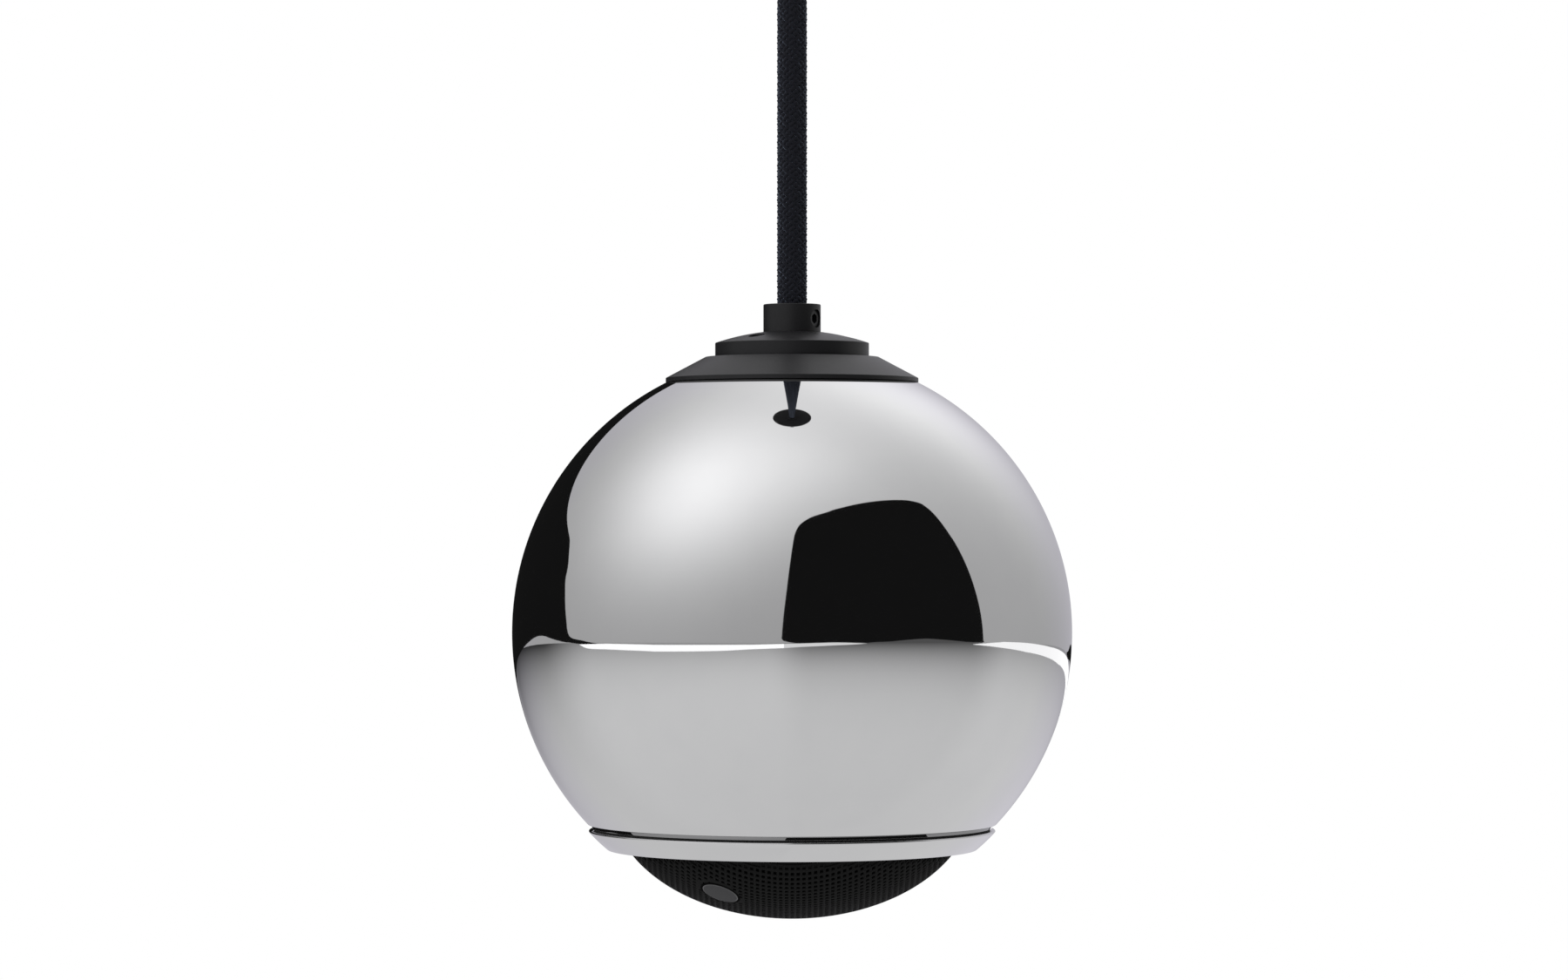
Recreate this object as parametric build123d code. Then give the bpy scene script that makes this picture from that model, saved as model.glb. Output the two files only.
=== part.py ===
from build123d import *
import os
from math import asin, cos, degrees, radians, sin, sqrt, tan

# A ball loudspeaker that hangs on a textile cord from a ceiling cup. Millimetres, +Z up.
# The origin is on the ceiling, in the middle of the plate that is screwed to it.
# Pieces of the ball are drawn about the ball's own centre and then lowered to it.

# Ball
BALL_R = 62.5
SHELL_T = 1.0
MOUTH_ROUND = 0.4
FELT_T = 7.0
FELT_TOP_SHARE = 0.608
FELT_FOOT_SHARE = 0.56

# Front ring, its gasket and the ring in the mouth that it screws into
GAP = 1.2
MOUTH_NECK_H = 0.75
MOUTH_NECK_INSET = 1.15
GAP_GASKET_INSET = 1.55
GAP_GASKET_W = 1.7
RING_TOP_R = 45.75
RING_OVERHANG = 0.2
RING_TAPER = 4.55
RING_FACE_DROP = 4.4
RING_BULGE = 0.12
RING_ROUND = 0.35
RING_LIP_T = 2.0
SPIGOT_STEP = 3.8
SPIGOT_T = 1.75
SPIGOT_RISE = 3.8
MOUTH_RING_H = 4.2

# Grille dome: an ellipsoid cap of punched sheet, with a flange behind the front ring's lip
GRILLE_FLANGE_W = 3.6
GRILLE_B = 26.8
GRILLE_DEPTH = 15.1
GRILLE_T = 0.8
GRILLE_PITCH = 5.5
GRILLE_HOLE = 3.4
GRILLE_BARE_R = 3.6
BADGE_D = 8.1
BADGE_T = 0.8
BADGE_INSET = 8.95
BADGE_AZIMUTH = -125.0
BADGE_ROUND = 0.2

# Collar on top of the ball
GLAND_R = 6.42
GLAND_H = 6.45
GLAND_ROUND = 0.25
STEM_R = 4.9
STEM_LEN = 14.35
GRUB_R = 2.05
GRUB_DROP = 3.3
GRUB_RECESS = 0.6
GRUB_AZIMUTH = -31.2
CAP_R = 17.2
CAP_SIDE_H = 3.15
CAP_DOME_R = 53.5
CAP_SEAT_DIP = 0.23
CAP_ROUND = 0.2
CAP_SCREWS = 3
CAP_SCREW_RING_R = 12.2
CAP_SCREW_R = 1.0
CAP_SCREW_HEAD_R = 1.65
CAP_SCREW_HEAD_H = 1.6
CAP_SCREW_SINK = 1.4
CAP_SCREW_AZIMUTH = -130.0
COLLAR_FOOT_R = 14.12
SKIRT_SHOULDER_R = 19.4
SKIRT_R = 28.25
SKIRT_LIFT = 0.12
SKIRT_LIP_H = 0.93
SKIRT_CLEAR = 0.1
SKIRT_T = 1.2
SKIRT_BORE_R = 15.6
SKIRT_ROUND = 0.25
COLLAR_GASKET_T = 0.6
NUT_PLATE_R = 15.0
NUT_PLATE_T = 4.2
GLAND_NUT_AF = 15.0
GLAND_NUT_H = 3.0
FERRULE_R = 5.6
FERRULE_H = 3.9

# Driver, facing down behind the grille
FLANGE_T = 1.5
FLANGE_W = 6.3
DRIVER_GASKET_T = 0.8
BASKET_T = 1.8
BASKET_RISE = 17.8
BASKET_TOP_R = 23.5
PLATFORM_T = 1.5
PLATFORM_PLAY = 2.0
SPIDER_DROP = 3.0
SPIDER_SEAT_R = 18.2
WINDOWS = 4
LEG_W = 7.0
WINDOW_FOOT = 2.6
WINDOW_HEAD = 3.6
DRIVER_SCREW_R = 1.0
DRIVER_SCREW_HEAD_R = 1.7
DRIVER_SCREW_HEAD_H = 1.4
DRIVER_SCREW_BITE = 1.4
TOP_PLATE_INSET = 3.0
TOP_PLATE_T = 4.0
MAGNET_SHARE = 1 / 1.2
MAGNET_BORE_SHARE = 0.5
MAGNET_T = 10.0
BACK_PLATE_T = 4.5
BACK_PLATE_CHAMFER = 1.0
POLE_SHARE = 0.3286
POLE_VENT_R = 2.5
FORMER_T = 0.4
FORMER_TOP_CLEAR = 4.5
COIL_T = 0.35
COIL_H = 8.0
CONE_T = 0.7
CONE_RIM_W = 1.4
CONE_NECK_H = 1.5
CONE_DEPTH = 13.7
DUST_CAP_LAP = 1.95
DUST_CAP_RISE = 4.25
DUST_CAP_T = 0.4
SURROUND_T = 0.5
SURROUND_ROLL_R = 3.1
SURROUND_LIP_W = 1.2
SURROUND_LAP = 0.2
SPIDER_T = 0.5
SPIDER_WAVE = 0.9
SPIDER_WAVES = 3
TERMINAL_W = 11.0
TERMINAL_H = 9.0
TERMINAL_T = 1.2
TAB_W = 2.8
TAB_T = 0.6
TAB_H = 11.0

# Cord and leads
CORD_D = 6.8
CORD_DROP = 305.0
LEAD_D = 1.6
LEAD_GAP = 2.4
LEAD_SPLAY = 2.0
LEAD_BEND = 0.286
LEAD_TURN = 0.65
LEAD_REACH = 0.57
LEAD_SINK = 3.1
LEAD_LEAN = 1.0

# Ceiling end
CUP_R = 27.5
CUP_H = 25.0
CUP_T = 1.2
CUP_ROUND = 1.8
CUP_RIM_CLEAR = 0.4
PLATE_T = 1.6
PLATE_RIM_H = 7.0
BOLT_SPACING = 32.0
BOLT_HOLE_R = 2.2
WIRE_HOLE_R = 5.0
SIDE_SCREWS = 2
SIDE_SCREW_R = 1.25
SIDE_SCREW_HEAD_R = 2.6
SIDE_SCREW_HEAD_H = 1.4
SIDE_SCREW_DROP = 5.0
GRIP_R = 6.3
GRIP_H = 5.0
GRIP_STEM_R = 4.9
GRIP_STEM_H = 8.0
GRIP_NUT_AF = 13.0
GRIP_NUT_H = 3.0
BLOCK_W = 18.0
BLOCK_D = 9.0
BLOCK_H = 10.0
BLOCK_Y = 10.5
BLOCK_PITCH = 9.0
BLOCK_SCREW_R = 1.3
BLOCK_SCREW_HEAD_R = 2.3
BLOCK_SCREW_HEAD_H = 1.6
TERMINAL_SCREW_R = 1.6

# Fits
THREAD_PLAY = 0.05
HOLE_PLAY = 0.2
CORD_PLAY = 0.15
SLIDE_GAP = 0.4
GLUE_GAP = 0.05
SOLDER_GAP = 0.1
SOFT_GAP = 0.3

# Heights about the ball's centre that several pieces share
BALL_Z = -(CUP_H + CORD_DROP)
CORD_R = CORD_D / 2
SHELL_INNER_R = BALL_R - SHELL_T
MOUTH_R = RING_TOP_R - RING_OVERHANG
MOUTH_Z = -sqrt(BALL_R**2 - MOUTH_R**2)
FELT_TOP_Z = FELT_TOP_SHARE * BALL_R
FELT_FOOT_Z = FELT_FOOT_SHARE * MOUTH_Z
MOUTH_NECK_R = RING_TOP_R - MOUTH_NECK_INSET
GAP_GASKET_R = RING_TOP_R - GAP_GASKET_INSET
RING_FOOT_R = RING_TOP_R - RING_TAPER
SPIGOT_R = RING_TOP_R - SPIGOT_STEP
RING_TOP_Z = MOUTH_Z - GAP
RING_FOOT_Z = RING_TOP_Z - RING_FACE_DROP
LIP_TOP_Z = RING_FOOT_Z + RING_LIP_T
SPIGOT_BORE_R = SPIGOT_R - SPIGOT_T
FLANGE_R = SPIGOT_BORE_R - SOFT_GAP
FLANGE_INNER_R = FLANGE_R - FLANGE_W
CONE_RIM_R = FLANGE_INNER_R + SURROUND_LAP - 2 * SURROUND_ROLL_R
MAGNET_R = MAGNET_SHARE * FLANGE_INNER_R
MAGNET_BORE_R = MAGNET_BORE_SHARE * MAGNET_R
POLE_R = POLE_SHARE * MAGNET_R
TOP_PLATE_R = MAGNET_R - TOP_PLATE_INSET
GRILLE_BACK_Z = LIP_TOP_Z + GRILLE_T
BASKET_FOOT_Z = GRILLE_BACK_Z + DRIVER_GASKET_T
FLANGE_TOP_Z = BASKET_FOOT_Z + FLANGE_T
BASKET_TOP_Z = FLANGE_TOP_Z + BASKET_RISE + PLATFORM_T + SPIDER_DROP / 2
SPIDER_Z = BASKET_TOP_Z - PLATFORM_T - SPIDER_DROP
TOP_PLATE_TOP_Z = BASKET_TOP_Z + TOP_PLATE_T
MAGNET_TOP_Z = TOP_PLATE_TOP_Z + MAGNET_T
FORMER_BORE_R = POLE_R + SLIDE_GAP
FORMER_R = FORMER_BORE_R + FORMER_T
COIL_R = FORMER_R + COIL_T
NECK_R = FORMER_R + GLUE_GAP
PLATFORM_BORE_R = FORMER_R + PLATFORM_PLAY
DUST_CAP_R = NECK_R + DUST_CAP_LAP
GRILLE_Z = RING_FOOT_Z - GRILLE_DEPTH + GRILLE_B
GRILLE_RIM_R = FLANGE_R - GRILLE_FLANGE_W
GRILLE_A = GRILLE_RIM_R / sqrt(1 - ((RING_FOOT_Z - GRILLE_Z) / GRILLE_B) ** 2)
BADGE_R = GRILLE_RIM_R - BADGE_INSET
BADGE_X = BADGE_R * cos(radians(BADGE_AZIMUTH))
BADGE_Y = BADGE_R * sin(radians(BADGE_AZIMUTH))
RING_BORE_R = GRILLE_RIM_R + SOFT_GAP
DRIVER_SCREW_RING_R = FLANGE_R - DRIVER_SCREW_HEAD_R
SEAT_R = BALL_R + COLLAR_GASKET_T
SKIRT_TOP_Z = sqrt(SEAT_R**2 - COLLAR_FOOT_R**2)
SKIRT_LIP_Z = sqrt(BALL_R**2 - SKIRT_R**2) + SKIRT_LIFT + SKIRT_LIP_H
CAP_TOP_Z = SKIRT_TOP_Z + CAP_SIDE_H
CAP_DOME_Z = CAP_TOP_Z - sqrt(CAP_DOME_R**2 - CAP_R**2)
GLAND_SEAT_R = GLAND_R + CORD_PLAY
GLAND_Z = CAP_DOME_Z + sqrt(CAP_DOME_R**2 - GLAND_SEAT_R**2) - CAP_SEAT_DIP
GLAND_TOP_Z = GLAND_Z + GLAND_H
STEM_FOOT_Z = GLAND_Z - STEM_LEN
NUT_PLATE_Z = SHELL_INNER_R - NUT_PLATE_T
FERRULE_TOP_Z = STEM_FOOT_Z - SOLDER_GAP
CORD_FOOT_Z = FERRULE_TOP_Z - FERRULE_H
CAP_SCREW_SEAT_Z = CAP_DOME_Z + sqrt(CAP_DOME_R**2 - CAP_SCREW_RING_R**2) - CAP_SCREW_SINK - CAP_SCREW_HEAD_H
CORD_TOP_Z = -CUP_H + GRIP_STEM_H + 1.0
GRIP_FOOT_Z = -CUP_H - GRIP_H
TERMINAL_Z = FLANGE_TOP_Z + WINDOW_FOOT
TERMINAL_Y = FLANGE_INNER_R + BASKET_T + SOLDER_GAP - WINDOW_FOOT * (
    (FLANGE_INNER_R + BASKET_T - BASKET_TOP_R) / BASKET_RISE
)


def spun(*lines):
    """A turned solid from a closed outline of lines, drawn as radius and height."""
    edges = [edge for line in lines for edge in line.edges()]
    return revolve(Plane.XZ * make_face(edges), Axis.Z)


def turned(*points):
    """A turned solid whose outline has straight sides only."""
    return spun(Polyline(*points, close=True))


def ring(inner_r, outer_r, foot_z, top_z):
    """A plain turned ring between two radii and two heights."""
    return turned((inner_r, foot_z), (outer_r, foot_z), (outer_r, top_z), (inner_r, top_z))


def rod(radius, foot_z, top_z):
    """A plain round rod on the axis."""
    return Pos(0, 0, (foot_z + top_z) / 2) * Cylinder(radius, top_z - foot_z)


def hexagon_bar(across_flats, foot_z, top_z):
    """A hexagonal bar on the axis, for nuts and sockets."""
    outline = RegularPolygon(across_flats / 2, 6, major_radius=False)
    return Pos(0, 0, foot_z) * extrude(outline, top_z - foot_z)


def around(shape, count, first_azimuth=0.0):
    """Copies of a shape, evenly spaced about the axis."""
    return [Rot(0, 0, first_azimuth + 360 * i / count) * shape for i in range(count)]


def sphere_arc(radius, centre_z, from_r, to_r):
    """The upper arc of a circle centred on the axis, between two distances from the axis."""
    stops = [(r, centre_z + sqrt(radius**2 - r**2)) for r in (from_r, (from_r + to_r) / 2, to_r)]
    return ThreePointArc(*stops)


def save(name, shape, at_ball=True):
    """One file for a sub-part. A list of solids makes one group of separate solids."""
    solids = shape if isinstance(shape, list) else [shape]
    solids = [solid for item in solids for solid in item.solids()]
    whole = solids[0] if len(solids) == 1 else Compound(children=solids)
    place = Pos(0, 0, BALL_Z if at_ball else 0)
    export_step(place * whole, f"parts/{name}.step")


# Ball shell: spun thin-walled sphere, open at the mouth, with holes for the stem and collar screws
def ball_shell():
    shell = Sphere(BALL_R) - Sphere(SHELL_INNER_R)
    shell -= rod(BALL_R, -2 * BALL_R, MOUTH_Z)
    rim = shell.edges().filter_by(GeomType.CIRCLE).sort_by(Axis.Z)[0:2].sort_by(SortBy.RADIUS)[-1]
    shell = fillet(rim, MOUTH_ROUND)
    shell -= rod(STEM_R + HOLE_PLAY + SOFT_GAP, 0, BALL_R + 1)
    hole = Pos(CAP_SCREW_RING_R, 0, 0) * rod(CAP_SCREW_R + HOLE_PLAY + SOLDER_GAP, 0, BALL_R + 1)
    for copy in around(hole, CAP_SCREWS, CAP_SCREW_AZIMUTH):
        shell -= copy
    return shell


# Damping felt: a soft band on the inside of the shell
def damping_felt():
    outer_r = SHELL_INNER_R - SOFT_GAP
    band = Sphere(outer_r) - Sphere(outer_r - FELT_T)
    return band & rod(BALL_R, FELT_FOOT_Z, FELT_TOP_Z)


# Mouth ring: soldered behind the mouth, bored for the front ring, with a plated neck below the rim
def mouth_ring():
    bore_r = SPIGOT_R + THREAD_PLAY
    blank = ring(bore_r, BALL_R, MOUTH_Z, MOUTH_Z + MOUTH_RING_H)
    body = blank & Sphere(SHELL_INNER_R - SOLDER_GAP)
    return body + ring(bore_r, MOUTH_NECK_R, MOUTH_Z - MOUTH_NECK_H, MOUTH_Z)


def gap_gasket():
    return ring(GAP_GASKET_R - GAP_GASKET_W, GAP_GASKET_R, RING_TOP_Z, MOUTH_Z - MOUTH_NECK_H)


# Front ring: bulged chrome face, flat lip round the grille and a spigot into the mouth ring
def front_ring():
    foot = (RING_FOOT_R, RING_FOOT_Z)
    top = (RING_TOP_R, RING_TOP_Z)
    spigot_top_z = RING_TOP_Z + GAP + SPIGOT_RISE
    face = SagittaArc(foot, top, -RING_BULGE)
    back = Polyline(
        top,
        (SPIGOT_R, RING_TOP_Z),
        (SPIGOT_R, spigot_top_z),
        (SPIGOT_BORE_R, spigot_top_z),
        (SPIGOT_BORE_R, LIP_TOP_Z),
        (RING_BORE_R, LIP_TOP_Z),
        (RING_BORE_R, RING_FOOT_Z),
        foot,
    )
    body = spun(face, back)
    corners = [
        edge
        for edge in body.edges().filter_by(GeomType.CIRCLE)
        if abs(edge.radius - RING_TOP_R) < 0.01 or abs(edge.radius - RING_FOOT_R) < 0.01
    ]
    body = fillet(corners, RING_ROUND)
    tip_z = LIP_TOP_Z - DRIVER_SCREW_BITE - SOLDER_GAP
    hole = Pos(DRIVER_SCREW_RING_R, 0, 0) * rod(DRIVER_SCREW_R + THREAD_PLAY, tip_z, LIP_TOP_Z)
    for copy in around(hole, WINDOWS, 45):
        body -= copy
    return body


# Grille dome
def dome_arc(shrink):
    """The dome's outline from its rim to the axis, its half-axes less by the given amount."""
    half_width = GRILLE_A - shrink
    half_height = GRILLE_B - shrink
    rim_angle = degrees(asin((RING_FOOT_Z - GRILLE_Z) / half_height))
    sweep_angle = 90 + rim_angle
    return EllipticalCenterArc((0, GRILLE_Z), half_width, half_height, -90, arc_size=sweep_angle)


def dome_height(at_r):
    """The height of the dome's outer face at a distance from the axis."""
    return GRILLE_Z - GRILLE_B * sqrt(1 - (at_r / GRILLE_A) ** 2)


def grille_cells():
    """Centres of the square holes: a square grid, less those at the rim and under the badge."""
    reach = GRILLE_RIM_R - GRILLE_T - GRILLE_HOLE / sqrt(2)
    steps = int(reach / GRILLE_PITCH) + 1
    cells = []
    for column in range(-steps, steps + 1):
        for row in range(-steps, steps + 1):
            x = column * GRILLE_PITCH
            y = row * GRILLE_PITCH
            to_badge = sqrt((x - BADGE_X) ** 2 + (y - BADGE_Y) ** 2)
            if sqrt(x * x + y * y) < reach and to_badge > GRILLE_BARE_R:
                cells.append((x, y))
    return cells


def grille_dome():
    outer = dome_arc(0)
    inner = dome_arc(GRILLE_T)
    outer_rim = outer @ 1
    inner_rim = inner @ 1
    flange = Polyline(
        outer_rim,
        (outer_rim.X, LIP_TOP_Z),
        (FLANGE_R, LIP_TOP_Z),
        (FLANGE_R, GRILLE_BACK_Z),
        (inner_rim.X, GRILLE_BACK_Z),
        inner_rim,
    )
    dome = spun(outer, flange, inner, Line(outer @ 0, inner @ 0))
    depth = GRILLE_B
    punches = Sketch() + [Pos(x, y) * Rectangle(GRILLE_HOLE, GRILLE_HOLE) for x, y in grille_cells()]
    dome -= Pos(0, 0, RING_FOOT_Z - depth) * extrude(punches, depth - GRILLE_T)
    return dome - flange_holes(LIP_TOP_Z, GRILLE_BACK_Z)


def flange_holes(foot_z, top_z):
    """Clearance holes for the driver screws through a flange."""
    hole = Pos(DRIVER_SCREW_RING_R, 0, 0) * rod(DRIVER_SCREW_R + HOLE_PLAY, foot_z, top_z)
    return Part() + around(hole, WINDOWS, 45)


# Badge: small blank disc seated on the dome
def badge():
    at_r = sqrt(BADGE_X**2 + BADGE_Y**2)
    z = dome_height(at_r)
    slope = (GRILLE_B / GRILLE_A) ** 2
    normal = (BADGE_X * slope, BADGE_Y * slope, z - GRILLE_Z)
    disc = Cylinder(BADGE_D / 2, 2 * BADGE_T)
    disc = fillet(disc.edges().filter_by(GeomType.CIRCLE).sort_by(Axis.Z)[-1], BADGE_ROUND)
    disc = Plane(origin=(BADGE_X, BADGE_Y, z), z_dir=normal) * disc
    solid_dome = spun(dome_arc(0), Polyline(dome_arc(0) @ 1, (0, RING_FOOT_Z), dome_arc(0) @ 0))
    return disc - solid_dome


# Collar: gland with its hollow stem, domed cap, flared skirt and what clamps them inside the ball
def cord_gland():
    body = fillet(rod(GLAND_R, GLAND_Z, GLAND_TOP_Z).edges().sort_by(Axis.Z)[-1], GLAND_ROUND)
    body += rod(STEM_R, STEM_FOOT_Z, GLAND_Z)
    body -= rod(CORD_R + CORD_PLAY, STEM_FOOT_Z, GLAND_TOP_Z)
    side_hole = Rot(0, 90, 0) * rod(GRUB_R, 0, 2 * GLAND_R)
    return body - Pos(0, 0, GLAND_TOP_Z - GRUB_DROP) * (Rot(0, 0, GRUB_AZIMUTH) * side_hole)


def grub_screw(holder_r):
    """A grub screw along +X whose tip just clears the cord, with a hexagon socket."""
    tip = CORD_R + CORD_PLAY
    tail = holder_r - GRUB_RECESS
    body = rod(GRUB_R - THREAD_PLAY, tip, tail)
    body -= hexagon_bar(GRUB_R, tail - GRUB_R / 2, tail)
    return Rot(0, 90, 0) * body


def gland_grub_screw():
    return Pos(0, 0, GLAND_TOP_Z - GRUB_DROP) * (Rot(0, 0, GRUB_AZIMUTH) * grub_screw(GLAND_R))


def collar_cap():
    bore_r = STEM_R + HOLE_PLAY
    under = sphere_arc(SEAT_R, 0, COLLAR_FOOT_R, bore_r)
    dome = sphere_arc(CAP_DOME_R, CAP_DOME_Z, GLAND_SEAT_R, CAP_R)
    inside = Polyline(under @ 1, (bore_r, GLAND_Z), (GLAND_SEAT_R, GLAND_Z), dome @ 0)
    outside = Polyline((CAP_R, CAP_TOP_Z), (CAP_R, SKIRT_TOP_Z), (COLLAR_FOOT_R, SKIRT_TOP_Z))
    cap = spun(under, inside, dome, outside)
    rim = [
        edge
        for edge in cap.edges().filter_by(GeomType.CIRCLE)
        if abs(edge.radius - CAP_R) < 0.01 and abs(edge.center().Z - CAP_TOP_Z) < 0.01
    ]
    cap = fillet(rim, CAP_ROUND)
    shank_hole = rod(CAP_SCREW_R + HOLE_PLAY, 0, CAP_TOP_Z)
    head_hole = rod(CAP_SCREW_HEAD_R + HOLE_PLAY, CAP_SCREW_SEAT_Z, CAP_DOME_Z + CAP_DOME_R)
    hole = Pos(CAP_SCREW_RING_R, 0, 0) * (shank_hole + head_hole)
    for copy in around(hole, CAP_SCREWS, CAP_SCREW_AZIMUTH):
        cap -= copy
    return cap


def cap_screws():
    tip_z = NUT_PLATE_Z + SOLDER_GAP
    head_top_z = CAP_SCREW_SEAT_Z + CAP_SCREW_HEAD_H
    screw = rod(CAP_SCREW_R, tip_z, CAP_SCREW_SEAT_Z) + rod(CAP_SCREW_HEAD_R, CAP_SCREW_SEAT_Z, head_top_z)
    screw -= hexagon_bar(CAP_SCREW_HEAD_R, head_top_z - CAP_SCREW_HEAD_H / 2, head_top_z)
    return around(Pos(CAP_SCREW_RING_R, 0, 0) * screw, CAP_SCREWS, CAP_SCREW_AZIMUTH)


def collar_skirt():
    foot_z = SKIRT_LIP_Z - SKIRT_LIP_H
    inner_r = SKIRT_R - SKIRT_T
    flare = (SKIRT_TOP_Z - SKIRT_LIP_Z) / (SKIRT_R - SKIRT_SHOULDER_R)
    inner_top_z = SKIRT_TOP_Z - SKIRT_T
    skirt = turned(
        (SKIRT_BORE_R, SKIRT_TOP_Z),
        (SKIRT_SHOULDER_R, SKIRT_TOP_Z),
        (SKIRT_R, SKIRT_LIP_Z),
        (SKIRT_R, foot_z),
        (inner_r, foot_z),
        (inner_r, SKIRT_LIP_Z),
        (inner_r - (inner_top_z - SKIRT_LIP_Z) / flare, inner_top_z),
        (SKIRT_BORE_R, inner_top_z),
    )
    corners = [edge for edge in skirt.edges().filter_by(GeomType.CIRCLE) if abs(edge.radius - SKIRT_R) < 0.01]
    skirt = fillet(corners, SKIRT_ROUND)
    return skirt - Sphere(BALL_R + SKIRT_CLEAR)


def collar_gasket():
    blank = Sphere(SEAT_R) - Sphere(BALL_R)
    blank &= ring(STEM_R + HOLE_PLAY + SOFT_GAP, COLLAR_FOOT_R, 0, SEAT_R)
    hole = Pos(CAP_SCREW_RING_R, 0, 0) * rod(CAP_SCREW_R + HOLE_PLAY, 0, SEAT_R)
    for copy in around(hole, CAP_SCREWS, CAP_SCREW_AZIMUTH):
        blank -= copy
    return blank


def nut_plate():
    blank = ring(STEM_R + HOLE_PLAY, NUT_PLATE_R, NUT_PLATE_Z, BALL_R)
    blank &= Sphere(SHELL_INNER_R - SOLDER_GAP)
    hole = Pos(CAP_SCREW_RING_R, 0, 0) * rod(CAP_SCREW_R + THREAD_PLAY, NUT_PLATE_Z, BALL_R)
    for copy in around(hole, CAP_SCREWS, CAP_SCREW_AZIMUTH):
        blank -= copy
    return blank


def gland_nut():
    nut = hexagon_bar(GLAND_NUT_AF, NUT_PLATE_Z - GLAND_NUT_H, NUT_PLATE_Z)
    return nut - rod(STEM_R + THREAD_PLAY, NUT_PLATE_Z - GLAND_NUT_H, NUT_PLATE_Z)


def cord_ferrule():
    return ring(CORD_R + THREAD_PLAY, FERRULE_R, CORD_FOOT_Z, FERRULE_TOP_Z)


# Driver: pressed basket with windows, magnet system, and the moving cone with its suspension
def basket_cone_inner():
    """The solid space inside the basket's conical wall."""
    return turned(
        (0, BASKET_FOOT_Z),
        (FLANGE_INNER_R, BASKET_FOOT_Z),
        (FLANGE_INNER_R, FLANGE_TOP_Z),
        (BASKET_TOP_R - BASKET_T / 2, SPIDER_Z),
        (0, SPIDER_Z),
    )


def basket_window():
    """One window's cutter: a sector of the conical wall between two legs."""
    foot_z = FLANGE_TOP_Z + WINDOW_FOOT
    head_z = SPIDER_Z - WINDOW_HEAD / 2
    blank = ring(PLATFORM_BORE_R, FLANGE_R, foot_z, head_z)
    reach = 2 * FLANGE_R
    corner = Pos(LEG_W / 2, LEG_W / 2, foot_z) * Box(reach, reach, head_z - foot_z, align=Align.MIN)
    return blank & corner


def basket():
    body = turned(
        (FLANGE_INNER_R, BASKET_FOOT_Z),
        (FLANGE_R, BASKET_FOOT_Z),
        (FLANGE_R, FLANGE_TOP_Z),
        (FLANGE_INNER_R + BASKET_T, FLANGE_TOP_Z),
        (BASKET_TOP_R, SPIDER_Z + SPIDER_DROP / 2),
        (BASKET_TOP_R, BASKET_TOP_Z),
        (PLATFORM_BORE_R, BASKET_TOP_Z),
        (PLATFORM_BORE_R, BASKET_TOP_Z - PLATFORM_T),
        (SPIDER_SEAT_R, BASKET_TOP_Z - PLATFORM_T),
        (SPIDER_SEAT_R, SPIDER_Z),
        (BASKET_TOP_R - BASKET_T / 2, SPIDER_Z),
        (FLANGE_INNER_R, FLANGE_TOP_Z),
    )
    for window in around(basket_window(), WINDOWS):
        body -= window
    pad_d = TERMINAL_Y - BASKET_TOP_R
    pad = Pos(-LEG_W / 2, BASKET_TOP_R, TERMINAL_Z) * Box(LEG_W, pad_d, TERMINAL_H, align=Align.MIN)
    body += pad - basket_cone_inner()
    return body - flange_holes(BASKET_FOOT_Z, FLANGE_TOP_Z)


def driver_gasket():
    inner_r = GRILLE_RIM_R + SOFT_GAP * 2
    return ring(inner_r, FLANGE_R, GRILLE_BACK_Z, BASKET_FOOT_Z) - flange_holes(GRILLE_BACK_Z, BASKET_FOOT_Z)


def driver_screws():
    head_top_z = FLANGE_TOP_Z + DRIVER_SCREW_HEAD_H
    screw = rod(DRIVER_SCREW_R, LIP_TOP_Z - DRIVER_SCREW_BITE, FLANGE_TOP_Z)
    screw += rod(DRIVER_SCREW_HEAD_R, FLANGE_TOP_Z, head_top_z)
    screw -= hexagon_bar(DRIVER_SCREW_HEAD_R, head_top_z - DRIVER_SCREW_HEAD_H / 2, head_top_z)
    return around(Pos(DRIVER_SCREW_RING_R, 0, 0) * screw, WINDOWS, 45)


def top_plate():
    return ring(COIL_R + SLIDE_GAP, TOP_PLATE_R, BASKET_TOP_Z, TOP_PLATE_TOP_Z)


def magnet_ring():
    return ring(MAGNET_BORE_R, MAGNET_R, TOP_PLATE_TOP_Z, MAGNET_TOP_Z)


def back_plate():
    disc = rod(TOP_PLATE_R, MAGNET_TOP_Z, MAGNET_TOP_Z + BACK_PLATE_T)
    disc = chamfer(disc.edges().sort_by(Axis.Z)[-1], BACK_PLATE_CHAMFER)
    yoke = disc + rod(POLE_R, BASKET_TOP_Z, MAGNET_TOP_Z)
    return yoke - rod(POLE_VENT_R, BASKET_TOP_Z, MAGNET_TOP_Z + BACK_PLATE_T)


def cone_front_z(at_r):
    """The height of the cone's front face at a distance from the axis."""
    rim_r = CONE_RIM_R - CONE_RIM_W
    return BASKET_FOOT_Z + CONE_DEPTH * (rim_r - at_r) / (rim_r - NECK_R)


def cone():
    rim_r = CONE_RIM_R - CONE_RIM_W
    neck_z = BASKET_FOOT_Z + CONE_DEPTH
    return turned(
        (NECK_R, neck_z),
        (rim_r, BASKET_FOOT_Z),
        (CONE_RIM_R, BASKET_FOOT_Z),
        (CONE_RIM_R, BASKET_FOOT_Z + CONE_T),
        (rim_r, BASKET_FOOT_Z + CONE_T),
        (NECK_R + CONE_T, cone_front_z(NECK_R + CONE_T) + CONE_T),
        (NECK_R + CONE_T, neck_z + CONE_T + CONE_NECK_H),
        (NECK_R, neck_z + CONE_T + CONE_NECK_H),
    )


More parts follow.
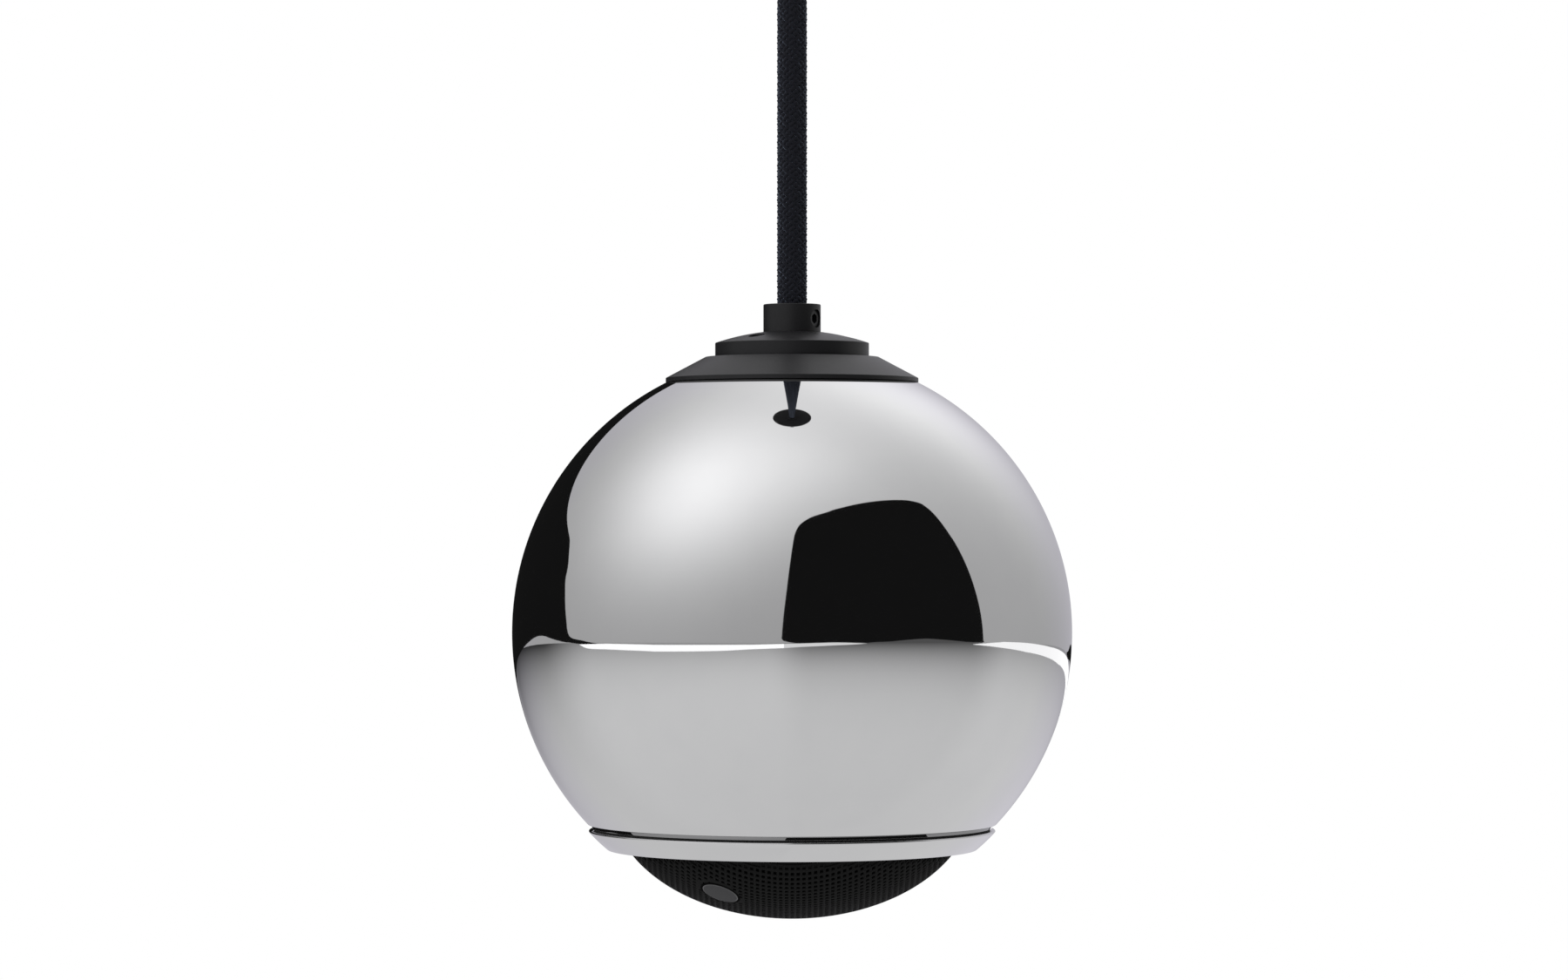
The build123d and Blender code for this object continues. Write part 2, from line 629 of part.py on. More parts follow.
def dust_cap():
    edge_z = cone_front_z(DUST_CAP_R) - GLUE_GAP
    outer = ThreePointArc(
        (-DUST_CAP_R, edge_z),
        (0, edge_z - DUST_CAP_RISE),
        (DUST_CAP_R, edge_z),
    )
    outer_r = outer.edge().radius
    centre_z = edge_z - DUST_CAP_RISE + outer_r
    cap = Pos(0, 0, centre_z) * (Sphere(outer_r) - Sphere(outer_r - DUST_CAP_T))
    return cap & rod(DUST_CAP_R, edge_z - DUST_CAP_RISE - 1, edge_z)


def voice_coil_former():
    foot_z = BASKET_FOOT_Z + CONE_DEPTH
    return ring(FORMER_BORE_R, FORMER_R, foot_z, MAGNET_TOP_Z - FORMER_TOP_CLEAR)


def voice_coil():
    middle_z = BASKET_TOP_Z + TOP_PLATE_T / 2
    return ring(FORMER_R, COIL_R, middle_z - COIL_H / 2, middle_z + COIL_H / 2)


def surround():
    """A half roll between two flat lips, bulging down towards the grille."""
    inner_lip_r = CONE_RIM_R - SURROUND_LIP_W
    roll_r = CONE_RIM_R + SURROUND_T / 2 + SURROUND_ROLL_R
    outer_lip_r = GRILLE_RIM_R + SOFT_GAP
    top_z = BASKET_FOOT_Z
    foot_z = top_z - SURROUND_T
    roll = Pos(roll_r, top_z) * (Circle(SURROUND_ROLL_R) - Circle(SURROUND_ROLL_R - SURROUND_T))
    roll -= Pos(roll_r, top_z + SURROUND_ROLL_R) * Rectangle(4 * SURROUND_ROLL_R, 2 * SURROUND_ROLL_R)
    near_r = roll_r - SURROUND_ROLL_R + SURROUND_T / 2
    far_r = roll_r + SURROUND_ROLL_R - SURROUND_T / 2
    section = roll + make_face(Polyline(
        (inner_lip_r, foot_z), (near_r, foot_z), (near_r, top_z), (inner_lip_r, top_z), close=True
    ).edges())
    section += make_face(Polyline(
        (far_r, foot_z), (outer_lip_r, foot_z), (outer_lip_r, top_z), (far_r, top_z), close=True
    ).edges())
    return revolve(Plane.XZ * section, Axis.Z)


def spider():
    """A corrugated disc from the former to the basket's seat."""
    outer_r = BASKET_TOP_R - BASKET_T / 2 - SOFT_GAP
    wave_start = NECK_R + 1.5
    wave_end = SPIDER_SEAT_R
    half_w = (wave_end - wave_start) / (2 * SPIDER_WAVES)
    waves = []
    for i in range(2 * SPIDER_WAVES):
        near_r = wave_start + half_w * i
        swing = SPIDER_WAVE / 2 * (-1 if i % 2 == 0 else 1)
        for z in (SPIDER_Z, SPIDER_Z - SPIDER_T):
            waves.append(ThreePointArc((near_r, z), (near_r + half_w / 2, z + swing), (near_r + half_w, z)))
    foot_z = SPIDER_Z - SPIDER_T
    outer = Polyline((wave_end, SPIDER_Z), (outer_r, SPIDER_Z), (outer_r, foot_z), (wave_end, foot_z))
    inner = Polyline((wave_start, foot_z), (NECK_R, foot_z), (NECK_R, SPIDER_Z), (wave_start, SPIDER_Z))
    return spun(*waves, outer, inner)


def terminal_board():
    board = Box(TERMINAL_W, TERMINAL_T, TERMINAL_H, align=Align.MIN)
    return Pos(-TERMINAL_W / 2, TERMINAL_Y, TERMINAL_Z) * board


def terminal_tabs():
    foot_z = TERMINAL_Z + TAB_T
    tab = Box(TAB_W, TAB_T, TAB_H, align=(Align.CENTER, Align.MIN, Align.MIN))
    return [Pos(side * tab_x(), TERMINAL_Y + TERMINAL_T, foot_z) * tab for side in (-1, 1)]


def tab_x():
    """The distance of each tab from the middle of its board."""
    return (TERMINAL_W - TAB_W) / 2 - TAB_T


# Cord and the leads inside
def bend_radii(points):
    """For each corner of a route, the largest arc that its two runs allow."""
    radii = []
    for before, corner, after in zip(points, points[1:], points[2:]):
        run_in = Vector(*corner) - Vector(*before)
        run_out = Vector(*after) - Vector(*corner)
        turn = radians(run_in.get_angle(run_out))
        radii.append(0.45 * min(run_in.length, run_out.length) / tan(turn / 2))
    return radii


def lead(points):
    """A round lead along a route of straight runs joined by tangent arcs."""
    radii = bend_radii(points)
    route = FilletPolyline(*points, radius=radii)
    start = Plane(origin=route @ 0, z_dir=route % 0)
    return sweep(start * Circle(LEAD_D / 2), path=route)


def driver_leads():
    """Two leads from the cord's end to the tabs on the driver."""
    top_z = CORD_FOOT_Z - SOLDER_GAP
    plate_z = MAGNET_TOP_Z + BACK_PLATE_T
    drop = top_z - plate_z
    tab_y = TERMINAL_Y + TERMINAL_T + TAB_T / 2
    leads = []
    for side in (-1, 1):
        start_x = side * LEAD_GAP / 2
        end_x = side * tab_x()
        leads.append(lead([
            (start_x, 0, top_z),
            (start_x, LEAD_SPLAY, top_z - LEAD_BEND * drop),
            ((start_x + end_x) / 2, LEAD_REACH * tab_y, top_z - LEAD_TURN * drop),
            (end_x, tab_y - LEAD_LEAN, plate_z - LEAD_SINK),
            (end_x, tab_y, TERMINAL_Z + TAB_T + TAB_H),
        ]))
    return leads


def pendant_cord():
    return rod(CORD_R, BALL_Z + CORD_FOOT_Z, CORD_TOP_Z)


# Ceiling end: plate, cup, cord grip and terminal block
def ceiling_plate():
    outer_r = CUP_R - CUP_T - SOFT_GAP
    plate = turned(
        (0, 0),
        (outer_r, 0),
        (outer_r, -PLATE_RIM_H),
        (outer_r - PLATE_T, -PLATE_RIM_H),
        (outer_r - PLATE_T, -PLATE_T),
        (0, -PLATE_T),
    )
    plate -= rod(WIRE_HOLE_R, -PLATE_T, 0)
    for side in (-1, 1):
        plate -= Pos(side * BOLT_SPACING / 2, 0, 0) * rod(BOLT_HOLE_R, -PLATE_T, 0)
    plate -= Pos(0, BLOCK_Y, 0) * rod(BLOCK_SCREW_R + THREAD_PLAY, -PLATE_T, 0)
    hole = Pos(0, 0, -SIDE_SCREW_DROP) * (Rot(0, 90, 0) * rod(SIDE_SCREW_R + THREAD_PLAY, 0, CUP_R))
    for copy in around(hole, SIDE_SCREWS, 90):
        plate -= copy
    return plate


def ceiling_cup():
    blank = rod(CUP_R, -CUP_H, -CUP_RIM_CLEAR)
    blank = fillet(blank.edges().sort_by(Axis.Z)[0], CUP_ROUND)
    cup = blank - rod(CUP_R - CUP_T, CUP_T - CUP_H, -CUP_RIM_CLEAR)
    cup -= rod(GRIP_STEM_R + HOLE_PLAY, -CUP_H, CUP_T - CUP_H)
    hole = Pos(0, 0, -SIDE_SCREW_DROP) * (Rot(0, 90, 0) * rod(SIDE_SCREW_R + HOLE_PLAY, 0, 2 * CUP_R))
    for copy in around(hole, SIDE_SCREWS, 90):
        cup -= copy
    return cup


def cup_side_screws():
    tip = CUP_R - CUP_T - SOFT_GAP - PLATE_T - SIDE_SCREW_R
    head_end = CUP_R + SIDE_SCREW_HEAD_H
    screw = rod(SIDE_SCREW_R, tip, CUP_R)
    head = rod(SIDE_SCREW_HEAD_R, CUP_R, head_end)
    head = fillet(head.edges().sort_by(Axis.Z)[-1], SIDE_SCREW_HEAD_H / 3)
    screw += head - hexagon_bar(SIDE_SCREW_HEAD_R, head_end - SIDE_SCREW_HEAD_H / 2, head_end)
    screw = Pos(0, 0, -SIDE_SCREW_DROP) * (Rot(0, 90, 0) * screw)
    return around(screw, SIDE_SCREWS, 90)


def cord_grip():
    body = fillet(rod(GRIP_R, GRIP_FOOT_Z, -CUP_H).edges().sort_by(Axis.Z)[0], GLAND_ROUND)
    body += rod(GRIP_STEM_R, -CUP_H, GRIP_STEM_H - CUP_H)
    body -= rod(CORD_R + CORD_PLAY, GRIP_FOOT_Z, GRIP_STEM_H - CUP_H)
    side_hole = Rot(0, 90, 0) * rod(GRUB_R, 0, 2 * GRIP_R)
    return body - Pos(0, 0, GRIP_FOOT_Z + GRIP_H / 2) * (Rot(0, 0, 90) * side_hole)


def grip_grub_screw():
    return Pos(0, 0, GRIP_FOOT_Z + GRIP_H / 2) * (Rot(0, 0, 90) * grub_screw(GRIP_R))


def grip_nut():
    foot_z = CUP_T - CUP_H
    nut = hexagon_bar(GRIP_NUT_AF, foot_z, foot_z + GRIP_NUT_H)
    return nut - rod(GRIP_STEM_R + THREAD_PLAY, foot_z, foot_z + GRIP_NUT_H)


def block_hole_z():
    """The height of the wire holes in the terminal block."""
    return -PLATE_T - BLOCK_H * 0.6


def terminal_block():
    block = Box(BLOCK_W, BLOCK_D, BLOCK_H, align=(Align.CENTER, Align.CENTER, Align.MAX))
    block = Pos(0, BLOCK_Y, -PLATE_T) * fillet(block.edges().filter_by(Axis.Z), 1.0)
    foot_z = -PLATE_T - BLOCK_H
    wire_hole = Pos(0, BLOCK_Y, block_hole_z()) * (Rot(90, 0, 0) * Cylinder(LEAD_D / 2 + HOLE_PLAY, BLOCK_D))
    screw_hole = Pos(0, BLOCK_Y, 0) * rod(TERMINAL_SCREW_R + THREAD_PLAY, foot_z, block_hole_z())
    for side in (-1, 1):
        block -= Pos(side * BLOCK_PITCH / 2, 0, 0) * (wire_hole + screw_hole)
    block -= Pos(0, BLOCK_Y, 0) * rod(BLOCK_SCREW_R + HOLE_PLAY, foot_z, -PLATE_T)
    head_hole = rod(BLOCK_SCREW_HEAD_R + HOLE_PLAY, foot_z, foot_z + BLOCK_SCREW_HEAD_H)
    return block - Pos(0, BLOCK_Y, 0) * head_hole


def terminal_screws():
    foot_z = -PLATE_T - BLOCK_H + SOFT_GAP
    top_z = block_hole_z() - LEAD_D / 2 - SOLDER_GAP
    screw = rod(TERMINAL_SCREW_R, foot_z, top_z)
    slot = Pos(0, 0, foot_z) * Box(2 * TERMINAL_SCREW_R, 0.6, 1.0)
    screw = Pos(0, BLOCK_Y, 0) * (screw - slot)
    return [Pos(side * BLOCK_PITCH / 2, 0, 0) * screw for side in (-1, 1)]


def block_screw():
    head_foot_z = -PLATE_T - BLOCK_H
    head_top_z = head_foot_z + BLOCK_SCREW_HEAD_H
    screw = rod(BLOCK_SCREW_HEAD_R, head_foot_z, head_top_z) + rod(BLOCK_SCREW_R, head_top_z, 0)
    slot = Pos(0, 0, head_foot_z) * Box(2 * BLOCK_SCREW_HEAD_R, 0.6, BLOCK_SCREW_HEAD_H)
    return Pos(0, BLOCK_Y, 0) * (screw - slot)


def ceiling_leads():
    """Two leads from the cord's upper end into the terminal block."""
    start_z = CORD_TOP_Z + SOFT_GAP
    leads = []
    for side in (-1, 1):
        leads.append(lead([
            (side * LEAD_GAP / 2, 0, start_z),
            (side * BLOCK_PITCH / 2, 0, block_hole_z()),
            (side * BLOCK_PITCH / 2, BLOCK_Y, block_hole_z()),
        ]))
    return leads


os.makedirs("parts", exist_ok=True)
AT_BALL = [
    ball_shell,
    damping_felt,
    mouth_ring,
    gap_gasket,
    front_ring,
    grille_dome,
    badge,
    cord_gland,
    gland_grub_screw,
    collar_cap,
    cap_screws,
    collar_skirt,
    collar_gasket,
    nut_plate,
    gland_nut,
    cord_ferrule,
    basket,
    driver_gasket,
    driver_screws,
    top_plate,
    magnet_ring,
    back_plate,
    cone,
    dust_cap,
    voice_coil_former,
    voice_coil,
    surround,
    spider,
    terminal_board,
    terminal_tabs,
    driver_leads,
]
AT_CEILING = [
    pendant_cord,
    ceiling_plate,
    ceiling_cup,
    cup_side_screws,
    cord_grip,
    grip_grub_screw,
    grip_nut,
    terminal_block,
    terminal_screws,
    block_screw,
    ceiling_leads,
]
for make in AT_BALL:
    save(make.__name__, make())
for make in AT_CEILING:
    save(make.__name__, make(), at_ball=False)
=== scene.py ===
from math import atan2, ceil, cos, pi, radians, sin, sqrt, tan

import bmesh
import bpy
from mathutils import Matrix, Vector


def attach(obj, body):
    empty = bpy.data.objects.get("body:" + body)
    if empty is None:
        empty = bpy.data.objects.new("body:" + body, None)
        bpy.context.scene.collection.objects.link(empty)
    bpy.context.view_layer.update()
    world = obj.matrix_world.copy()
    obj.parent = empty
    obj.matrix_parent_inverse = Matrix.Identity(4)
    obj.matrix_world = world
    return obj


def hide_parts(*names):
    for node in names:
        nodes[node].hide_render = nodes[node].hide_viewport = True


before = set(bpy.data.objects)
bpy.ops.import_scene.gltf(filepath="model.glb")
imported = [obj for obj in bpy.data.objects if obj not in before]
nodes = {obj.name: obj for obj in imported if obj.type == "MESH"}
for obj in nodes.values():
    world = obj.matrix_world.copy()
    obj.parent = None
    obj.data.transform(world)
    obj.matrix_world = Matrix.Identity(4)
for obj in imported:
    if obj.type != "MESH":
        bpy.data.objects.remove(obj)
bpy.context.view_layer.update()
MM = 0.001
BALL_Z = -330.0

# Camera: level with the ball, a metre in front of it, as the photograph was taken.
# The cord runs out of the top of the frame, so the ceiling end stays out of view.
LENS = 105.76
CAMERA_AT = (-0.0018, -1.030, -0.307)
CAMERA_TILT = 90.489
camera_data = bpy.data.cameras.new("camera")
camera_data.sensor_width = 36.0
camera_data.lens = LENS
camera = bpy.data.objects.new("camera", camera_data)
camera.location = CAMERA_AT
camera.rotation_euler = (radians(CAMERA_TILT), 0.0, 0.0)
bpy.context.scene.collection.objects.link(camera)
bpy.context.scene.camera = camera


# Pendant cord: a two-core cable in a braided textile jacket, black with a navy cast.
# It hangs taut between the grip under the ceiling cup and the gland on the ball.
CORD_D = 6.8
CORD_FOOT_Z = -281.5
CORD_TOP_Z = -16.0
CARRIERS = 12
BRAID_PITCH = 15.6
YARN_R = 0.5
YARN_SWING = 0.2
BRAID_FULL = 0.06


def new_tree(name, inputs):
    """A Geometry Nodes tree with a mesh in, a mesh out and the given number inputs."""
    tree = bpy.data.node_groups.new(name, "GeometryNodeTree")
    tree.interface.new_socket(name="Geometry", in_out="INPUT", socket_type="NodeSocketGeometry")
    tree.interface.new_socket(name="Geometry", in_out="OUTPUT", socket_type="NodeSocketGeometry")
    for label, value in inputs.items():
        kind = "NodeSocketInt" if isinstance(value, int) else "NodeSocketFloat"
        tree.interface.new_socket(name=label, in_out="INPUT", socket_type=kind).default_value = value
    start = tree.nodes.new("NodeGroupInput")
    end = tree.nodes.new("NodeGroupOutput")
    return tree, {socket.name: socket for socket in start.outputs if socket.name}, end


def add(tree, kind, sockets=None, **settings):
    """A node with its settings, and its inputs linked or set by name or number."""
    node = tree.nodes.new(kind)
    for key, value in settings.items():
        setattr(node, key, value)
    for key, value in (sockets or {}).items():
        if isinstance(value, bpy.types.NodeSocket):
            tree.links.new(value, node.inputs[key])
        else:
            node.inputs[key].default_value = value
    return node


def calc(tree, operation, *values):
    """A Math node's result for one, two or three values or sockets."""
    sockets = {i: value for i, value in enumerate(values)}
    return add(tree, "ShaderNodeMath", sockets, operation=operation).outputs[0]


def finish_tree(tree, end, geometry, material):
    """Every tree ends in Realize Instances and Set Material."""
    real = add(tree, "GeometryNodeRealizeInstances", {0: geometry})
    painted = add(tree, "GeometryNodeSetMaterial", {0: real.outputs[0], "Material": material})
    tree.links.new(painted.outputs[0], end.inputs[0])


def settled(piece):
    """The plain mesh that a piece and its modifiers make; the modifiers are then taken off."""
    bpy.context.view_layer.update()
    mesh = bpy.data.meshes.new_from_object(piece.evaluated_get(bpy.context.evaluated_depsgraph_get()))
    piece.modifiers.clear()
    mesh.name = piece.name
    return mesh


def grown(name, tree, values, base=None):
    """The plain mesh object that a tree makes from a base mesh with the given input values."""
    seed = new_piece(name + "_seed", base or bpy.data.meshes.new(name + "_base"))
    modifier = seed.modifiers.new("tree", "NODES")
    modifier.node_group = tree
    for item in tree.interface.items_tree:
        if item.in_out == "INPUT" and item.name in values:
            modifier[item.identifier] = values[item.name]
    mesh = settled(seed)
    bpy.data.objects.remove(seed)
    return new_piece(name, mesh)


def new_piece(name, mesh):
    """An object at the origin for a finished mesh."""
    mesh.name = name
    piece = bpy.data.objects.new(name, mesh)
    bpy.context.scene.collection.objects.link(piece)
    return piece


def blank_material(name, colour, roughness, metallic=0.0):
    """A material with its Principled shader, whose constants are on the shader's own sockets."""
    material = bpy.data.materials.new(name)
    material.use_nodes = True
    tree = material.node_tree
    shader = tree.nodes["Principled BSDF"]
    shader.inputs["Base Color"].default_value = (*colour, 1.0)
    shader.inputs["Roughness"].default_value = roughness
    shader.inputs["Metallic"].default_value = metallic
    return material, tree, shader


def noise(tree, scale, detail=3.0, stretch=(1.0, 1.0, 1.0), roughness=0.5):
    """A noise value in Object coordinates, its scale in features per metre."""
    place = add(tree, "ShaderNodeTexCoord").outputs["Object"]
    mapping = add(tree, "ShaderNodeMapping", {"Vector": place, "Scale": stretch})
    sockets = {"Vector": mapping.outputs[0], "Scale": scale, "Detail": detail, "Roughness": roughness}
    return add(tree, "ShaderNodeTexNoise", sockets).outputs[0]


def spread(tree, value, low, high):
    """A 0 to 1 value spread over another range."""
    return add(tree, "ShaderNodeMapRange", {"Value": value, "To Min": low, "To Max": high}).outputs[0]


def tinted(tree, value, dark, light):
    """A colour between two, chosen by a value."""
    mix = add(tree, "ShaderNodeMix", data_type="RGBA")
    tree.links.new(value, mix.inputs["Factor"])
    mix.inputs[6].default_value = (*dark, 1.0)
    mix.inputs[7].default_value = (*light, 1.0)
    return mix.outputs[2]


def bumped(tree, shader, height, distance, strength=1.0):
    """A bump of a height value on a shader; the distance is in metres."""
    bump = add(tree, "ShaderNodeBump", {"Height": height, "Distance": distance, "Strength": strength})
    tree.links.new(bump.outputs[0], shader.inputs["Normal"])


def grained(name, pattern, dark, light, roughness, metallic=0.0, relief=0.0, **levels):
    """A finish whose colour, and where asked its roughness and bump, follow one fine pattern."""
    low, high = roughness if isinstance(roughness, tuple) else (roughness, roughness)
    colour = [(a + b) / 2 for a, b in zip(dark, light)]
    material, tree, shader = blank_material(name, colour, (low + high) / 2, metallic)
    value = pattern(tree) if callable(pattern) else noise(tree, *pattern)
    tree.links.new(tinted(tree, value, dark, light), shader.inputs["Base Color"])
    if high > low:
        tree.links.new(spread(tree, value, low, high), shader.inputs["Roughness"])
    if relief:
        bumped(tree, shader, value, relief)
    for word, level in levels.items():
        shader.inputs[SHADER_WORDS[word]].default_value = level
    return material


SHADER_WORDS = {
    "specular": "Specular IOR Level",
    "sheen": "Sheen Weight",
    "sheen_roughness": "Sheen Roughness",
    "sheen_tint": "Sheen Tint",
}
cord_textile = grained(
    "cord_textile", (9000.0, 3.0, (1.0, 1.0, 0.25)), (0.003, 0.003, 0.005), (0.009, 0.009, 0.013),
    (0.75, 0.95), relief=0.00006,
    specular=0.2, sheen=0.3, sheen_roughness=0.4, sheen_tint=(0.6, 0.72, 0.95, 1.0),
)

route = bpy.data.curves.new("cord_route", "CURVE")
route.dimensions = "3D"
spline = route.splines.new("NURBS")
spline.points.add(3)
for point, z in zip(spline.points, (CORD_FOOT_Z, -200.0, -100.0, CORD_TOP_Z)):
    point.co = (0.0, 0.0, z * MM, 1.0)
spline.order_u = 3
spline.use_endpoint_u = True
spline.resolution_u = 12
route_object = bpy.data.objects.new("cord_route", route)
bpy.context.scene.collection.objects.link(route_object)
bpy.context.view_layer.update()
line = bpy.data.meshes.new_from_object(route_object)
bpy.data.objects.remove(route_object)

tree, wanted, end = new_tree("braid", {
    "Cord Radius": 0.0032,
    "Yarn Radius": 0.0004,
    "Yarn Swing": 0.0002,
    "Pitch": 0.015,
    "Carriers": 12,
    "Steps": 100,
})
curve = add(tree, "GeometryNodeMeshToCurve", {0: wanted["Geometry"]})
fine = add(tree, "GeometryNodeResampleCurve", {"Curve": curve.outputs[0], "Count": wanted["Steps"]})
both = calc(tree, "MULTIPLY", wanted["Carriers"], 2.0)
strands = add(tree, "GeometryNodeDuplicateElements", {
    "Geometry": fine.outputs[0], "Amount": both,
}, domain="SPLINE")
index = strands.outputs["Duplicate Index"]
# Half of the yarns run up to the left and half up to the right, each over one and under one.
hand = calc(tree, "SUBTRACT", calc(tree, "MULTIPLY", calc(tree, "MODULO", index, 2.0), 2.0), 1.0)
slot_number = calc(tree, "FLOOR", calc(tree, "MULTIPLY", index, 0.5))
along = add(tree, "GeometryNodeSplineParameter").outputs["Length"]
turns = calc(tree, "DIVIDE", along, wanted["Pitch"])
share = calc(tree, "DIVIDE", slot_number, wanted["Carriers"])
angle = calc(tree, "MULTIPLY", calc(tree, "ADD", share, calc(tree, "MULTIPLY", turns, hand)), 2 * pi)
weave = calc(tree, "MULTIPLY", calc(tree, "MULTIPLY", turns, wanted["Carriers"]), 2 * pi)
rise = calc(tree, "MULTIPLY", calc(tree, "COSINE", weave), hand)
# Neighbouring yarns of one hand take turns, as in a plain weave.
parity = calc(tree, "SUBTRACT", calc(tree, "MULTIPLY", calc(tree, "MODULO", slot_number, 2.0), 2.0), 1.0)
swing = calc(tree, "MULTIPLY", calc(tree, "MULTIPLY", rise, parity), wanted["Yarn Swing"])
inset = calc(tree, "ADD", wanted["Yarn Radius"], wanted["Yarn Swing"])
lay_r = calc(tree, "ADD", calc(tree, "SUBTRACT", wanted["Cord Radius"], inset), swing)
offset = add(tree, "ShaderNodeCombineXYZ", {
    0: calc(tree, "MULTIPLY", calc(tree, "COSINE", angle), lay_r),
    1: calc(tree, "MULTIPLY", calc(tree, "SINE", angle), lay_r),
})
laid = add(tree, "GeometryNodeSetPosition", {"Geometry": strands.outputs[0], "Offset": offset.outputs[0]})
yarn = add(tree, "GeometryNodeCurvePrimitiveCircle", {"Resolution": 5, "Radius": wanted["Yarn Radius"]})
braid = add(tree, "GeometryNodeCurveToMesh", {
    "Curve": laid.outputs[0], "Profile Curve": yarn.outputs[0], "Fill Caps": True,
})
core_line = add(tree, "GeometryNodeCurvePrimitiveCircle", {
    "Resolution": 24,
    "Radius": calc(tree, "SUBTRACT", wanted["Cord Radius"], calc(tree, "MULTIPLY", inset, 1.2)),
})
core = add(tree, "GeometryNodeCurveToMesh", {
    "Curve": curve.outputs[0], "Profile Curve": core_line.outputs[0], "Fill Caps": True,
})
joined = tree.nodes.new("GeometryNodeJoinGeometry")
tree.links.new(braid.outputs[0], joined.inputs[0])
tree.links.new(core.outputs[0], joined.inputs[0])
soft = add(tree, "GeometryNodeSetShadeSmooth", {0: joined.outputs[0]})
finish_tree(tree, end, soft.outputs[0], cord_textile)

cord_run = (CORD_TOP_Z - CORD_FOOT_Z) * MM
cord = grown("cord_braid", tree, {
    "Cord Radius": (CORD_D / 2 + BRAID_FULL) * MM,
    "Yarn Radius": YARN_R * MM,
    "Yarn Swing": YARN_SWING * MM,
    "Pitch": BRAID_PITCH * MM,
    "Carriers": CARRIERS,
    "Steps": int(cord_run / (BRAID_PITCH * MM) * 4 * CARRIERS) + 1,
}, base=line)
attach(cord, "housing")
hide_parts("pendant_cord")


# Ball: spun from sheet steel in one piece, polished and chrome plated to a mirror.
# It is open at the mouth below and bored at the pole for the gland's stem.
BALL_R = 62.5
SHELL_T = 1.0
RING_TOP_R = 45.75
MOUTH_R = RING_TOP_R - 0.2
MOUTH_Z = -sqrt(BALL_R**2 - MOUTH_R**2)
STEM_R = 4.9
CAP_SCREW_RING_R = 12.2
CAP_SCREW_AZIMUTHS = (-130.0, -10.0, 110.0)
CAP_SCREW_BORE_R = 1.3
SHELL_BORE_Z = (56, 64)
POLE_PLAY = 0.5
MOUTH_ROUND = 0.4
TURNED_SIDES = 288
SHARP_ANGLE = radians(35.0)


def eased(corners, steps=5):
    """A closed outline of (radius, height, rounding) corners as (radius, height) points."""
    points = []
    count = len(corners)
    for i, corner in enumerate(corners):
        here = Vector(corner[:2])
        rounding = corner[2] if len(corner) > 2 else 0.0
        if not rounding:
            points.append(here)
            continue
        back = Vector(corners[i - 1][:2]) - here
        on = Vector(corners[(i + 1) % count][:2]) - here
        back.normalize()
        on.normalize()
        half = back.angle(on) / 2
        reach = rounding / tan(half)
        middle = here + (back + on).normalized() * (rounding / sin(half))
        first = here + back * reach - middle
        last = here + on * reach - middle
        turn = atan2(first.x * last.y - first.y * last.x, first.dot(last))
        points.append(here + back * reach * 1.06)
        for step in range(steps + 1):
            a = turn * step / steps
            spoke = Vector((first.x * cos(a) - first.y * sin(a), first.x * sin(a) + first.y * cos(a)))
            points.append(middle + spoke)
        points.append(here + on * reach * 1.06)
    return points


def arc(radius, centre_z, from_r, to_r, steps, under=False):
    """Points on a circle centred on the axis, between two radii, above or below its centre."""
    side = -1 if under else 1
    first = atan2(sqrt(max(radius**2 - from_r**2, 0.0)), from_r)
    last = atan2(sqrt(max(radius**2 - to_r**2, 0.0)), to_r)
    angles = [first + (last - first) * i / steps for i in range(steps + 1)]
    return [(radius * cos(a), centre_z + side * radius * sin(a)) for a in angles]


def turned(name, outline, base_z, material, sides=TURNED_SIDES):
    """A piece turned on the axis from a closed outline of (radius, height) points in millimetres."""
    shape = bmesh.new()
    loops = []
    for r, z in outline:
        height = (z + base_z) * MM
        if r < 1e-6:
            loops.append([shape.verts.new((0.0, 0.0, height))])
            continue
        spokes = [2 * pi * i / sides for i in range(sides)]
        loops.append([shape.verts.new((r * MM * cos(a), r * MM * sin(a), height)) for a in spokes])
    for near, far in zip(loops, loops[1:] + loops[:1]):
        if len(near) == 1 and len(far) == 1:
            continue
        for i in range(sides):
            j = (i + 1) % sides
            corners = []
            for loop, k in ((near, i), (near, j), (far, j), (far, i)):
                vertex = loop[k % len(loop)]
                if vertex not in corners:
                    corners.append(vertex)
            shape.faces.new(corners)
    bmesh.ops.recalc_face_normals(shape, faces=shape.faces)
    mesh = bpy.data.meshes.new(name)
    shape.to_mesh(mesh)
    shape.free()
    for face in mesh.polygons:
        face.use_smooth = True
    mesh.set_sharp_from_angle(angle=SHARP_ANGLE)
    mesh.materials.append(material)
    return new_piece(name, mesh)


def drilled(piece, drills, sides=48):
    """The piece with round holes, each given as (start, end, radius) in metres."""
    cutter = bmesh.new()
    for start_point, end_point, radius in drills:
        run = Vector(end_point) - Vector(start_point)
        turn = run.to_track_quat("Z", "Y").to_matrix().to_4x4()
        place = Matrix.Translation((Vector(start_point) + Vector(end_point)) / 2) @ turn
        bmesh.ops.create_cone(
            cutter, cap_ends=True, segments=sides,
            radius1=radius, radius2=radius, depth=run.length, matrix=place,
        )
    mesh = bpy.data.meshes.new("drill")
    cutter.to_mesh(mesh)
    cutter.free()
    drill = new_piece("drill", mesh)
    bore = piece.modifiers.new("bore", "BOOLEAN")
    bore.operation = "DIFFERENCE"
    bore.solver = "EXACT"
    bore.object = drill
    result = settled(piece)
    bpy.data.objects.remove(drill)
    finish = piece.data.materials[0]
    piece.data = result
    result.materials.clear()
    result.materials.append(finish)
    for face in result.polygons:
        face.material_index = 0
        face.use_smooth = True
    result.set_sharp_from_angle(angle=SHARP_ANGLE)
    return piece


def belongs(piece, slot, *replaced):
    """The piece rides on the housing and stands for CAD nodes, which it hides. The slot is not used."""
    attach(piece, "housing")
    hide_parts(*replaced)


